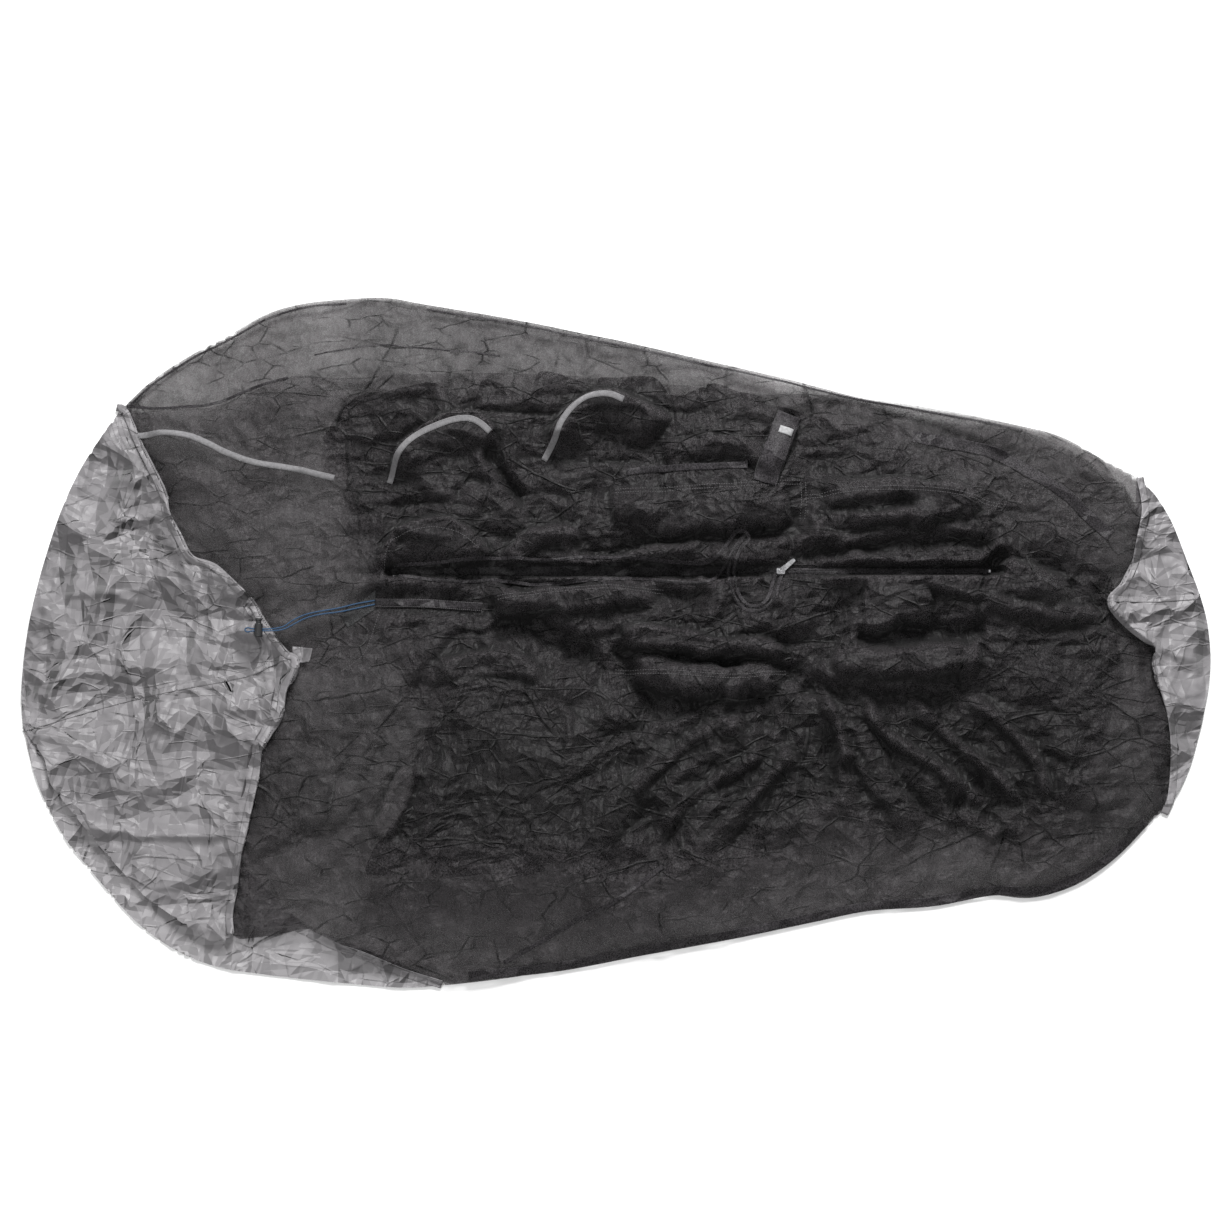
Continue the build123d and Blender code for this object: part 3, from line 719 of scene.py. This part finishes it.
def hood_floor_height(p):
    """Flat where the hood or the net covers it, crumpled where it shows."""
    bare = ~(inside(HOOD_REGION, p) | inside(NET_REGION, p))
    wave = np.clip(creases(p, 70, 4, 141) + 0.5 * creases(p, 30, 4, 145), -0.2, 2)
    return floor_height(p) + 0.6 + np.where(bare, 2.5, 0.3) * (wave + 0.2)


def sheet_mesh(name, region, cell, height, material):
    """Cloth over a plan region, at the heights that a function of the plan gives."""
    plan, faces = cloth_grid(np.array(region, float), cell)
    return new_mesh(name, np.column_stack([plan, height(plan)]), faces, material)


def flat_area(region):
    """Area of a plan region, in square metres."""
    x, y = np.array(region, float).T
    return abs(np.dot(x, np.roll(y, -1)) - np.dot(y, np.roll(x, -1))) / 2e6


def declare(region, fullness=1.0):
    """Works out the area that the cloth was cut to, fuller than its plan where it is slack; nothing uses it.
    """
    p = np.array(region, float) * MM
    area = flat_area(region) * fullness


# Plan regions of the cloths: the net tucks under the hems, and its folded layers end where it lies single
FLAP_EDGE = [(-292, -588), (-360, -568), (-430, -541), (-500, -508), (-527, -497), (-575, -508), (-640, -516)]
TUCK_HEAD = HEAD_EDGE + np.array([-24, 0])
TUCK_FOOT = FOOT_EDGE + np.array([16, 0])
NET_REGION = np.vstack([rim_between((-860, 400), (905, 276)), TUCK_FOOT[4:-4],
                        rim_between((932, -303), (-292, -594)), FLAP_EDGE, TUCK_HEAD[::-1][1:-5]])
HOOD_REGION = np.vstack([HEAD_EDGE, HOOD_FOLD, rim_between((-1022, -110), (-868, 390))])
FOOT_REGION = np.vstack([rim_between((905, 276), (940, -290)), FOOT_EDGE[::-1]])
HOOD_FLOOR_REGION = np.vstack([rim_between((-290, -594), (-1000, -225)),
                               rim_between((-1022, -110), (-868, 392)), HOOD_FLOOR_EDGE])
FOOT_FLOOR_REGION = np.vstack([rim_between((905, 276), (940, -290)), [(905, -150), (895, 100)]])
FOLD_FAR = [(-842, 392), (-770, 398), (-689, 402), (-600, 440), (-547, 455), (-479, 450), (-354, 457),
            (-235, 459), (-73, 454), (24, 444), (158, 435), (228, 421), (366, 424), (540, 396), (690, 366),
            (800, 320), (880, 262)]
DEEP_FAR = [(-470, 400), (-354, 425), (-235, 435), (-73, 436), (24, 430), (158, 424), (228, 412), (350, 400),
            (430, 362), (520, 312), (620, 262), (700, 220), (790, 145), (865, 66)]
DEEP_NEAR = [(862, -60), (820, -220), (740, -300), (640, -338), (520, -325), (400, -300), (330, -345),
             (200, -370), (80, -390), (-100, -402), (-300, -395), (-430, -385), (-404, -350), (-360, -290),
             (-340, -230), (-322, -160), (-335, -80), (-360, -20), (-392, 40), (-405, 100), (-425, 160),
             (-455, 240), (-505, 340)]
FOLD_REGION = np.vstack([smooth(FOLD_FAR, 12), TUCK_FOOT[6:-6], rim_between((930, -305), (-280, -594)),
                         FLAP_EDGE[1:], TUCK_HEAD[::-1][1:-6]])
DEEP_EDGE = np.vstack([smooth(DEEP_FAR, 12), smooth(DEEP_NEAR, 12)])
DEEP_REGION = DEEP_EDGE + 26 * np.column_stack([noise(DEEP_EDGE, 55, seed) for seed in (81, 82)])

NET_CELL, NYLON_CELL, PANEL_CELL, LAYER_CELL, FLOOR_CELL = 8, 6, 6, 7, 9
NET_CRINKLE, NYLON_CRINKLE = 3.0, 4.6
# Thin slack fabric in the cloth simulation, and the share of its sideways drift that is kept
STRETCH_STIFFNESS, SHEAR_STIFFNESS, POINT_MASS = 15, 4.5, 0.02
HELD_EDGE = 5
SIDEWAYS = 0.6


def drape(obj, region, slack, calm, calm_slack, frames_run, bending, weight=1.0):
    """Lets cloth with more length than its plan settle into folds, held along its edges."""
    scene = bpy.context.scene
    plan = np.array([v.co[:2] for v in obj.data.vertices]) / MM
    held = obj.vertex_groups.new(name="held")
    held.add([int(i) for i in np.nonzero(off_edge(region, plan) < HELD_EDGE)[0]], 1.0, "REPLACE")
    easy = obj.vertex_groups.new(name="calm")
    for i, w in enumerate(calm(plan)):
        easy.add([i], float(w), "REPLACE")
    cloth = obj.modifiers.new("drape", "CLOTH")
    cloth.point_cache.frame_start, cloth.point_cache.frame_end = 1, frames_run
    s = cloth.settings
    s.quality, s.mass, s.air_damping = 5, POINT_MASS, 1.0
    s.tension_stiffness = s.compression_stiffness = STRETCH_STIFFNESS
    s.shear_stiffness = SHEAR_STIFFNESS
    s.bending_stiffness, s.bending_damping = bending, 0.5
    s.vertex_group_mass = "held"
    s.vertex_group_shrink = "calm"
    s.shrink_min, s.shrink_max = -slack, -calm_slack
    s.effector_weights.gravity = weight
    cloth.collision_settings.distance_min = 0.002
    for k in range(1, frames_run + 1):
        scene.frame_set(k)
    depsgraph = bpy.context.evaluated_depsgraph_get()
    shaped = np.array([v.co for v in obj.evaluated_get(depsgraph).to_mesh().vertices])
    shaped[:, :2] = plan * MM + SIDEWAYS * (shaped[:, :2] - plan * MM)
    obj.modifiers.clear()
    obj.vertex_groups.clear()
    scene.frame_set(1)
    obj.data.vertices.foreach_set("co", shaped.ravel())
    obj.data.update()


def crinkles(p, depth, seed):
    """Sharp small folds pressed into the cloth while it was packed."""
    fade = ease(off_edge(RIM, p) / 20)
    coarse = creases(p, 62, 5, seed, 0.25) + 0.55 * creases(p, 33, 5, seed + 20, 0.25)
    return depth * fade * (coarse + 0.28 * creases(p, 17, 5, seed + 40, 0.25))


def coordinates(obj):
    """A mesh's points in millimetres."""
    return np.array([v.co for v in obj.data.vertices]) / MM


def press_in(obj, settled, depth, seed):
    """Adds the sharp small folds, then gives the solid things on the cloth their places again."""
    p = coordinates(obj)
    p[:, 2] = settled(p[:, 2] + crinkles(p[:, :2], depth, seed), p[:, :2])
    obj.data.vertices.foreach_set("co", (p * MM).ravel())
    obj.data.update()


def divide(obj):
    """Divides each face into four and rounds the cloth."""
    finer = obj.modifiers.new("finer", "SUBSURF")
    finer.levels = finer.render_levels = 1
    finer.boundary_smooth = "PRESERVE_CORNERS"
    depsgraph = bpy.context.evaluated_depsgraph_get()
    mesh = bpy.data.meshes.new_from_object(obj.evaluated_get(depsgraph))
    obj.modifiers.clear()
    obj.data = mesh


def hollows(obj, rounds=14, depth=5.0):
    """How far each point lies below the cloth around it: 1 deep in a fold, -1 on a crest."""
    z = coordinates(obj)[:, 2]
    a, b = np.array([list(e.vertices) for e in obj.data.edges]).T
    degree = np.bincount(np.concatenate([a, b]), minlength=len(z))
    around = z
    for _ in range(rounds):
        total = np.bincount(a, around[b], len(z)) + np.bincount(b, around[a], len(z))
        around = 0.5 * around + 0.5 * total / degree
    return np.clip((around - z) / depth, -1, 1)


def darkening_by_place(p):
    """How much darker the net is painted at each place: darker in the bunched middle and in a band on the
    near side, lighter towards the near rim and the head, and on the far edge towards the foot.
    """
    bunched = np.where(inside(DEEP_REGION, p), ease(off_edge(DEEP_REGION, p) / 40), 0)
    near = ease((-60 - p[:, 1]) / 160) * (1 - ease((-290 - p[:, 1]) / 110))
    head, rim = ease((-420 - p[:, 0]) / 80), ease((-330 - p[:, 1]) / 70)
    thin = ease((p[:, 0] - 40) / 260) * ~inside(FOLD_REGION, p)
    return (0.35 + 0.25 * near) * bunched + 0.15 * near - 0.55 * np.maximum(rim, head * (1 - near)) - thin


def store(obj, values):
    """Keeps each point's shade for the net's material."""
    layer = obj.data.attributes.new("painted_shade", "FLOAT", "POINT")
    layer.data.foreach_set("value", np.asarray(values, float))


def mouth_half(x):
    """Half the width of the open zip's mouth at each place along it."""
    t = np.clip((x - ZIP_HEAD_X) / (SLIDER_X - 12 - ZIP_HEAD_X), 0, 1)
    return MOUTH_HALF * np.sin(np.pi * t) ** 0.6


def split_at_zip(obj, names):
    """Cuts the top net along the zip into its far and near halves, with the open mouth between them."""
    p = coordinates(obj)
    off = p[:, 1] - ZIP_Y
    half = mouth_half(p[:, 0])
    gap = np.abs(off) - half
    # Painted shade for the net: high deep in folds and along the open zip's mouth, low on crests, plus the
    # darkening by place.
    deep = hollows(obj) + darkening_by_place(p[:, :2]) + 0.8 * (half > 0.5) * (1 - ease(np.abs(gap) / 12))
    near = (half > 0.5) & (np.abs(gap) < 0.55 * NET_CELL / 2)
    p[near, 1] = ZIP_Y + np.sign(off[near]) * half[near]
    faces = np.array([list(f.vertices) for f in obj.data.polygons])
    middle = p[faces].mean(1)
    open_mouth = np.abs(middle[:, 1] - ZIP_Y) < mouth_half(middle[:, 0])
    halves = []
    for name, mine in zip(names, (middle[:, 1] > ZIP_Y, middle[:, 1] <= ZIP_Y)):
        used, kept = np.unique(faces[mine & ~open_mouth], return_inverse=True)
        halves.append(new_mesh(name, p[used], kept.reshape(-1, 4), obj.data.materials[0]))
        store(halves[-1], deep[used])
    bpy.data.objects.remove(obj)
    return halves


def tree_of(objects):
    """Search tree over the faces of some pieces."""
    mesh = bmesh.new()
    for obj in objects:
        mesh.from_mesh(obj.data)
    tree = BVHTree.FromBMesh(mesh)
    mesh.free()
    return tree


def z_on(tree, x, y, missing):
    """Height of the highest face over a plan point."""
    hit = tree.ray_cast(Vector((x * MM, y * MM, 0.2)), Vector((0, 0, -1)))
    return hit[0].z / MM if hit[0] else missing


floor_net = sheet_mesh("floor_net_cloth", RIM, FLOOR_CELL, floor_height, FLOOR_NET)
place(floor_net, ["floor_net"])
declare(RIM, 1.0)
hood_floor = sheet_mesh("hood_floor_cloth", HOOD_FLOOR_REGION, PANEL_CELL, hood_floor_height, NYLON_INSIDE)
place(hood_floor, ["hood_floor"])
declare(HOOD_FLOOR_REGION, 1.05)
foot_floor = sheet_mesh("foot_floor_cloth", FOOT_FLOOR_REGION, PANEL_CELL,
                        lambda p: floor_height(p) + 1.2, NYLON)
place(foot_floor, ["foot_floor"])
declare(FOOT_FLOOR_REGION, 1.0)

ground.modifiers.new("floor", "COLLISION")
ground.collision.thickness_outer = 0.002


def net_calm(p):
    """Where the net is less full: outside the gathered middle."""
    r = off_edge(DEEP_REGION, p)
    return np.where(inside(DEEP_REGION, p), 0.35 * (1 - ease(r / 60)), 0.35 + 0.65 * ease(r / 60))


top_net = sheet_mesh("top_net", NET_REGION, NET_CELL, net_top_height, NET)
drape(top_net, NET_REGION, slack=0.12, calm=net_calm, calm_slack=0.05, frames_run=18, bending=0.08,
      weight=0.06)
divide(top_net)
press_in(top_net, settle, NET_CRINKLE, 210)
TOP_TREE = tree_of([top_net])
net_far, net_near = split_at_zip(top_net, ("far_top_net", "near_top_net"))
place(net_far, ["top_net_far", "net_margin_far"])
place(net_near, ["top_net_near", "net_margin_near"])

# Shares of the top net's height at which its two folded layers lie, and the upper one's height under the zip
FOLD_SHARE, DEEP_SHARE, UNDER_ZIP = 0.45, 0.72, 17


def layer_under(name, region, share, material, replaced):
    """Layer of the same slack net folded under the top one, at a share of its height."""
    def height(p):
        top = np.array([z_on(TOP_TREE, x, y, 6.0) for x, y in p])
        h = np.clip(top * share + 1.5 * creases(p, 40, 4, 131) * share, 2.0, np.maximum(top - 1, 2.1))
        for line in [ZIP_LINE] + PULL_LINES:
            h = np.minimum(h, rest_on(h, p, line, 11, UNDER_ZIP * share / DEEP_SHARE, 20))
        return h
    obj = place(sheet_mesh(name, region, LAYER_CELL, height, material), replaced)
    declare(region, 1.15)
    return obj


fold_net = layer_under("folded_net", FOLD_REGION, FOLD_SHARE, FOLDED_NET, ["gathers_near"])
deep_net = layer_under("deep_folded_net", DEEP_REGION, DEEP_SHARE, DEEP_NET, ["gathers_far"])


def nylon_calm(p):
    """The nylon is equally full everywhere."""
    return np.full(len(p), 0.4)


hood = sheet_mesh("hood_top_cloth", HOOD_REGION, NYLON_CELL, nylon_height, NYLON)
foot = sheet_mesh("foot_top_cloth", FOOT_REGION, NYLON_CELL, nylon_height, NYLON)
for end, obj, region in (("hood", hood, HOOD_REGION), ("foot", foot, FOOT_REGION)):
    drape(obj, region, slack=0.05, calm=nylon_calm, calm_slack=0.02, frames_run=20, bending=0.8)
    divide(obj)
    press_in(obj, settle_nylon, NYLON_CRINKLE, 240)
    nodes = [f"{end}_{part}_{side}" for part in ("gore", "margin") for side in ("far", "near")]
    place(obj, nodes)
    declare(region, 1.1)
ground.modifiers.clear()

# ---------------------------------------------------------------- things that lie on the cloth
TREE = tree_of([net_far, net_near, hood, foot, hood_floor, floor_net, deep_net, fold_net])


def surface_z(x, y):
    return z_on(TREE, x, y, 2.0)


def heights(points, smoothing=3):
    """Height of the cloth at each plan point of a line, evened along it but never below the cloth."""
    z = np.array([surface_z(x, y) for x, y in points])
    window = np.ones(2 * smoothing + 1) / (2 * smoothing + 1)
    return np.maximum(np.convolve(np.pad(z, smoothing, mode="edge"), window, "valid"), z)


def frames(path):
    """Unit tangents and left-hand normals of a plan path."""
    t = np.gradient(path, axis=0)
    t /= np.linalg.norm(t, axis=1)[:, None] + 1e-9
    return t, np.column_stack([-t[:, 1], t[:, 0]])


def resample(path, step):
    """Evenly spaced points along a path."""
    s = np.concatenate([[0], np.cumsum(np.linalg.norm(np.diff(path, axis=0), axis=1))])
    t = np.linspace(0, s[-1], max(3, int(s[-1] / step) + 1))
    return np.column_stack([np.interp(t, s, path[:, k]) for k in range(path.shape[1])])


# A tape's cross-section: places across its half width, and the half thickness there
TAPE_ACROSS = np.array([-1, -0.85, -0.4, 0, 0.4, 0.85, 1])
TAPE_THICK = np.array([0, 0.85, 1, 1, 1, 0.85, 0])


def ribbon(name, line, width, material, replaced=(), lift=0.6, thick=1.2, bow=0.0, step=4, follow=0.35):
    """Flat tape with rounded edges that follows the cloth under it."""
    path = resample(smooth(line, step), step)
    side = frames(path)[1]
    rails = []
    for a, t in zip(TAPE_ACROSS * width / 2, TAPE_THICK * thick / 2):
        p = path + side * a
        wave = bow * np.sin(math.pi * (a / width + 0.5))
        rails.append((p, heights(p, 3) + lift + wave, t))
    level = np.maximum.reduce([z for _, z, _ in rails])
    upper = [(p, z, thick / 2 + t) for p, z, t in rails]
    lower = [(p, z, thick / 2 - t) for p, z, t in reversed(rails[1:-1])]
    verts = []
    for p, z, rise in upper + lower:
        z = follow * z + (1 - follow) * level
        verts += [(x, y, h + rise) for (x, y), h in zip(p, z)]
    count, rows = len(path), len(upper + lower)
    faces = []
    for r in range(rows):
        for k in range(count - 1):
            a, b = r * count + k, ((r + 1) % rows) * count + k
            faces.append((a, a + 1, b + 1, b))
    for k in (0, count - 1):
        faces.append([r * count + k for r in range(rows)][:: -1 if k else 1])
    return place(new_mesh(name, verts, faces, material), replaced)


# A stitch: places along and across its thread with the height there, and its faces
STITCH_POINTS = ((-0.5, 0, 0), (-0.3, 0.5, 0.25), (0.3, 0.5, 0.25), (0.5, 0, 0), (0.3, -0.5, 0.25),
                 (-0.3, -0.5, 0.25), (-0.25, 0, 0.6), (0.25, 0, 0.6))
STITCH_FACES = ((0, 6, 1), (1, 6, 7, 2), (2, 7, 3), (3, 7, 4), (4, 7, 6, 5), (5, 6, 0))


def stitches(name, line, offsets, material=THREAD, pitch=3.4, length=2.4, width=0.55, lift=0.25):
    """Rows of separate stitches, each a small raised lozenge on the cloth."""
    path = smooth(line, 3)
    side = frames(path)[1]
    verts, faces = [], []
    for offset in offsets:
        row = resample(path + side * offset, pitch)
        for (x, y), z, (tx, ty), (sx, sy) in zip(row, heights(row, 1), *frames(row)):
            faces += [[len(verts) + i for i in face] for face in STITCH_FACES]
            for u, v, h in STITCH_POINTS:
                u, v = u * length, v * width
                verts.append((x + tx * u + sx * v, y + ty * u + sy * v, z + lift + h))
    return place(new_mesh(name, verts, faces, material))


# Binding on the hood's and foot's cut edges, each a folded strip sewn down
HEM_INSET = 6
HOOD_HEM_LINE = [(x - HEM_INSET, y) for x, y in HEAD_HEM]
FOOT_HEM_LINE = [(x + HEM_INSET, y) for x, y in FOOT_HEM]
for name, line, replaced in (("hood_hem_fold", HOOD_HEM_LINE, ["hood_hem", "hood_hem_near"]),
                             ("foot_hem_fold", FOOT_HEM_LINE, ["foot_hem_far", "foot_hem_near"])):
    ribbon(name, line, 13, NYLON, replaced, lift=0.2, thick=1.0, bow=0.2, follow=0.9)

# Loose binding tape along the far seam, showing in three stretches over the humps
TAPES = [
    [(-832, 350), (-785, 352), (-739, 345), (-702, 331), (-670, 315), (-624, 299), (-578, 292), (-532, 283),
     (-485, 273)],
    [(-390, 264), (-374, 307), (-348, 336), (-311, 355), (-277, 367), (-251, 369), (-232, 361), (-215, 346)],
    [(-124, 303), (-105, 336), (-94, 363), (-75, 389), (-53, 406), (-30, 412), (-8, 411), (13, 402)],
]
for k, line in enumerate(TAPES):
    ribbon(f"seam_binding_{k + 1}", line, 11, TAPE, ["seam_binding"], lift=0.3, thick=0.6,
           bow=0.3, follow=0.75)
    stitches(f"binding_stitches_{k + 1}", line, (-3.6, 3.6), pitch=3.6, width=0.6, lift=1.0)

# Strap with its blank label
STRAP_LINE = [(255, 262), (262, 285), (270, 305), (284, 342), (300, 385)]
ribbon("strap_webbing", STRAP_LINE, 45, TAPE_NET, ["strap"], lift=0.4, thick=0.9, bow=0.6,
       follow=0.7)
stitches("strap_stitches", STRAP_LINE, (-19.5, 19.5, -16, 16), width=0.6, lift=2.2)
LABEL_AT, LABEL_TURN = sum(cad_box("strap_label"))[:2] / 2, math.radians(-20)
label_axis = np.array([math.cos(LABEL_TURN), math.sin(LABEL_TURN)])
label_line = [tuple(LABEL_AT + label_axis * s) for s in (-12, -6, 0, 6, 12)]
ribbon("strap_label_cloth", label_line, 13, LABEL_CLOTH, ["strap_label"], lift=2.0, thick=0.6)
stitches("label_stitches", label_line, (-5.2, 5.2), LABEL_EDGE, pitch=2.6, length=1.7,
         width=0.5, lift=2.9)

# Flap strip, cord channel and its rows of stitches
FLAP_LINE = [(19, 283), (70, 288), (120, 290), (170, 292), (226, 294)]
ribbon("flap_binding", FLAP_LINE, 12, TAPE_NET, ["flap_strip"], lift=0.5, thick=1.2)
ribbon("cord_channel_cloth", CHANNEL_LINE, 15, TAPE_NET, ["cord_channel"], lift=0.3, thick=2.6,
       bow=0.6)
stitches("channel_stitches", CHANNEL_LINE, (-6.4, 6.2), width=0.8, lift=3.2)

# Flat felled seams of the nylon
HOOD_SEAM = [(-1016, -158), (-942, -135), (-852, -109), (-762, -88), (-640, -64), (-568, -36)]
FOOT_SEAM = [(848, 63), (880, 65), (930, 66), (958, 68), (1008, 71)]
HOOD_FLAP_SEAM = [(-524, -505), (-480, -526), (-430, -543), (-360, -572), (-296, -592)]
for name, line, width in (("hood_seam_fold", HOOD_SEAM, 10), ("foot_seam_fold", FOOT_SEAM, 10),
                          ("hood_flap_fold", HOOD_FLAP_SEAM, 14)):
    ribbon(name, line, width, NYLON, lift=0.1, thick=0.8, follow=0.95)

# Rows of stitches along the seams. The nylon's seams run a little past their folds
NYLON_SEAMS = [
    ("hood_seam", [(-1018, -159), *HOOD_SEAM[1:-1], (-566, -34)], (-3.2, 3.2)),
    ("hood_hem_stitches", HOOD_HEM_LINE, (-4.8, 4.2)),
    ("foot_hem_stitches", FOOT_HEM_LINE, (-4.8, 4.2)),
    ("foot_seam", [(845, 63), *FOOT_SEAM[1:]], (-3.2, 3.2)),
    ("hood_flap_stitches", HOOD_FLAP_SEAM, (-4.5, 3.5)),
]
NET_STITCHES = [
    ("band_stitches", [(0, 251), (60, 253), (160, 256), (240, 261), (320, 267)], (-5, 1.5)),
    ("band_end_stitches", [(322, 264), (323, 235), (321, 204)], (-4, 4)),
    ("dome_stitches", [(-402, 104), (-384, 160), (-325, 184), (-270, 177), (-232, 150)], (-3,)),
    ("tube_stitches", [(-200, 62), (-120, 72), (-20, 80), (80, 75)], (-3, 3)),
    ("near_stitches", [(0, -62), (100, -66), (200, -72), (290, -62)], (-3, 3)),
    ("foot_net_stitches", [(330, 240), (430, 250), (560, 245), (660, 222)], (-3, 3)),
    ("hood_tip_stitches", [(-470, -60), (-430, -30), (-405, 40)], (0,)),
]
for name, line, offsets in NYLON_SEAMS:
    stitches(name, line, offsets, DARK_THREAD, pitch=4.2, length=3.0, width=1.1)
for name, line, offsets in NET_STITCHES:
    stitches(name, line, offsets, pitch=4.2, length=3.0, width=0.8)

# Gathers where the hood meets the far seam
GATHER_X, GATHER_PITCH, GATHER_COUNT = -882, 9, 5
for k in range(GATHER_COUNT):
    x = GATHER_X + GATHER_PITCH * k
    stitches(f"gather_stitches_{k + 1}", [(x - 6, 382), (x + 4, 352), (x + 18, 326)], (0,))

# Narrow doubled edges and seams of the net, which show as darker lines
NET_SEAMS = [
    ("far_seam", [(-521, 488), (-417, 505), (-354, 500), (-260, 493), (-200, 484)], 3),
    ("far_fold_edge", [(-850, 404), (-800, 399), (-745, 399), (-689, 402), (-620, 430), (-565, 446)], 5),
    ("far_right_fold", [(512, 346), (600, 332), (662, 314), (725, 276), (775, 245), (812, 208), (850, 172)],
     22),
    ("near_hem_fold", [(-250, -578), (-100, -562), (40, -536), (200, -507), (330, -480), (430, -460),
                       (540, -452), (640, -434), (720, -434), (790, -410), (850, -370), (905, -315)], 16),
    ("near_seam", [(-190, -555), (-120, -515), (-60, -480), (0, -450), (80, -392)], 8),
    ("far_rim_seam", [(-860, 388), (-812, 436), (-744, 484), (-675, 519), (-606, 558), (-545, 577),
                      (-470, 585)], 4),
    ("far_long_seam", [(-330, 574), (-190, 551), (-53, 522), (120, 485), (330, 436), (520, 394), (706, 361)],
     4),
]
for name, line, width in NET_SEAMS:
    ribbon(name, line, width, TAPE_NET, lift=0.9, thick=0.5, follow=0.9, step=6)

# Coarse mesh tab on the net and the small folded tab at the hood's tip
TAB_LIFT, TAB_THICK, TAB_CELL = 0.8, 0.8, 2.0


def tab(name, corners, material, replaced):
    """Small flap of cloth of even thickness, crumpled a little."""
    region = resample(np.array([*corners, corners[0]], float), TAB_CELL)[:-1]
    plan, faces = cloth_grid(region, TAB_CELL)
    z = np.array([surface_z(x, y) for x, y in plan]) + TAB_LIFT + 1.2 * creases(plan, 14, 3, 11)
    obj = new_mesh(name, np.column_stack([plan, z]), faces, material)
    obj.modifiers.new("thickness", "SOLIDIFY").thickness = TAB_THICK * MM
    return place(obj, replaced)


tab("coarse_mesh_tab", [(-473, 36), (-461, 14), (-411.3, 46), (-411.3, 79)], COARSE,
    ["mesh_tab"])
tab("hem_tab_cloth", [(-556, -16), (-522, -19), (-527, -42), (-556, -46)], NYLON, ["hem_tab"])

# ---------------------------------------------------------------- zip
COIL_PITCH, COIL_WIDE, COIL_HIGH, COIL_WIRE_R = 1.5, 1.3, 0.85, 0.45
TURN_STEPS, WIRE_SIDES = 6, 3
CLOSED_HALF, LOOP_HALF, STOP_HALF = 1.6, 4.6, 8.6
# Fold of both rows beside the slider, from the slider round to the open stretch
ZIP_LOOP = [(277, 99), (264, 62), (246, 47), (228, 46), (211, 60), (200, 86), (199, 120), (209, 150),
            (226, 172)]
# Places along the open stretch, and how far off the zip's line the far and the near row lie there
OPEN_ROWS = [(165, 16, 17), (110, 13, 22), (40, 19, 14), (-40, 24, 18), (-120, 17, 25), (-200, 21, 16),
             (-280, 15, 19), (-345, 11, 11)]


def coil(name, path, replaced):
    """Row of zip coil: a fine flattened helix along a 3-D path."""
    centre = resample(path, COIL_PITCH / TURN_STEPS)
    side = frames(centre[:, :2])[1]
    turn = np.arange(len(centre)) * 2 * math.pi / TURN_STEPS
    line = centre + np.column_stack([side * (COIL_WIDE * np.cos(turn))[:, None], COIL_HIGH * np.sin(turn)])
    d = np.gradient(line, axis=0)
    d /= np.linalg.norm(d, axis=1)[:, None]
    u = np.cross(d, (0.0, 0.0, 1.0))
    u /= np.linalg.norm(u, axis=1)[:, None] + 1e-9
    v = np.cross(d, u)
    angles = [2 * math.pi * k / WIRE_SIDES for k in range(WIRE_SIDES)]
    verts = np.vstack([line + COIL_WIRE_R * (math.cos(a) * u + math.sin(a) * v) for a in angles])
    faces = []
    for k in range(WIRE_SIDES):
        for i in range(len(line) - 1):
            a, b = k * len(line) + i, (k + 1) % WIRE_SIDES * len(line) + i
            faces.append((a, a + 1, b + 1, b))
    return place(new_mesh(name, verts, faces, COIL_PLASTIC), replaced)


def zip_row(sign):
    """Plan path of one zip row from the foot stop to the head stop, round the fold beside the slider."""
    closed = [(x, ZIP_Y + CLOSED_HALF * sign) for x in (ZIP_FOOT_X, 500, 360, 292)]
    loop = np.array(ZIP_LOOP, float)
    loop = loop - frames(loop)[1] * LOOP_HALF * sign
    back = [(208, 178 - 12 * (1 - sign))]
    back += [(x, ZIP_Y + sign * (far if sign > 0 else near)) for x, far, near in OPEN_ROWS]
    stop = [(ZIP_HEAD_X, ZIP_Y + STOP_HALF * sign)]
    return resample(smooth(closed + [tuple(q) for q in loop] + back + stop, 4), 4)


for sign, end in ((1, "far"), (-1, "near")):
    path = zip_row(sign)
    z = heights(path, 3)
    ribbon(f"zip_tape_cloth_{end}", [tuple(q) for q in path[::4]], 6, TAPE_NET,
           [f"zip_tape_{end}"], lift=0.1, thick=0.7)
    coil(f"zip_coil_row_{end}", np.column_stack([path, z + 0.9]), [f"zip_coil_{end}"])

# ---------------------------------------------------------------- CAD pieces that are shown as they are
for material, nodes in ((SLIDER_METAL, ("zip_slider", "zip_pull", "zip_stop_foot", "zip_stops_head")),
                        (BLACK_PLASTIC, ("lock_body", "lock_button")), (SPRING_METAL, ("lock_spring",))):
    for node in nodes:
        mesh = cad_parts[node].data
        mesh.materials.clear()
        mesh.materials.append(material)
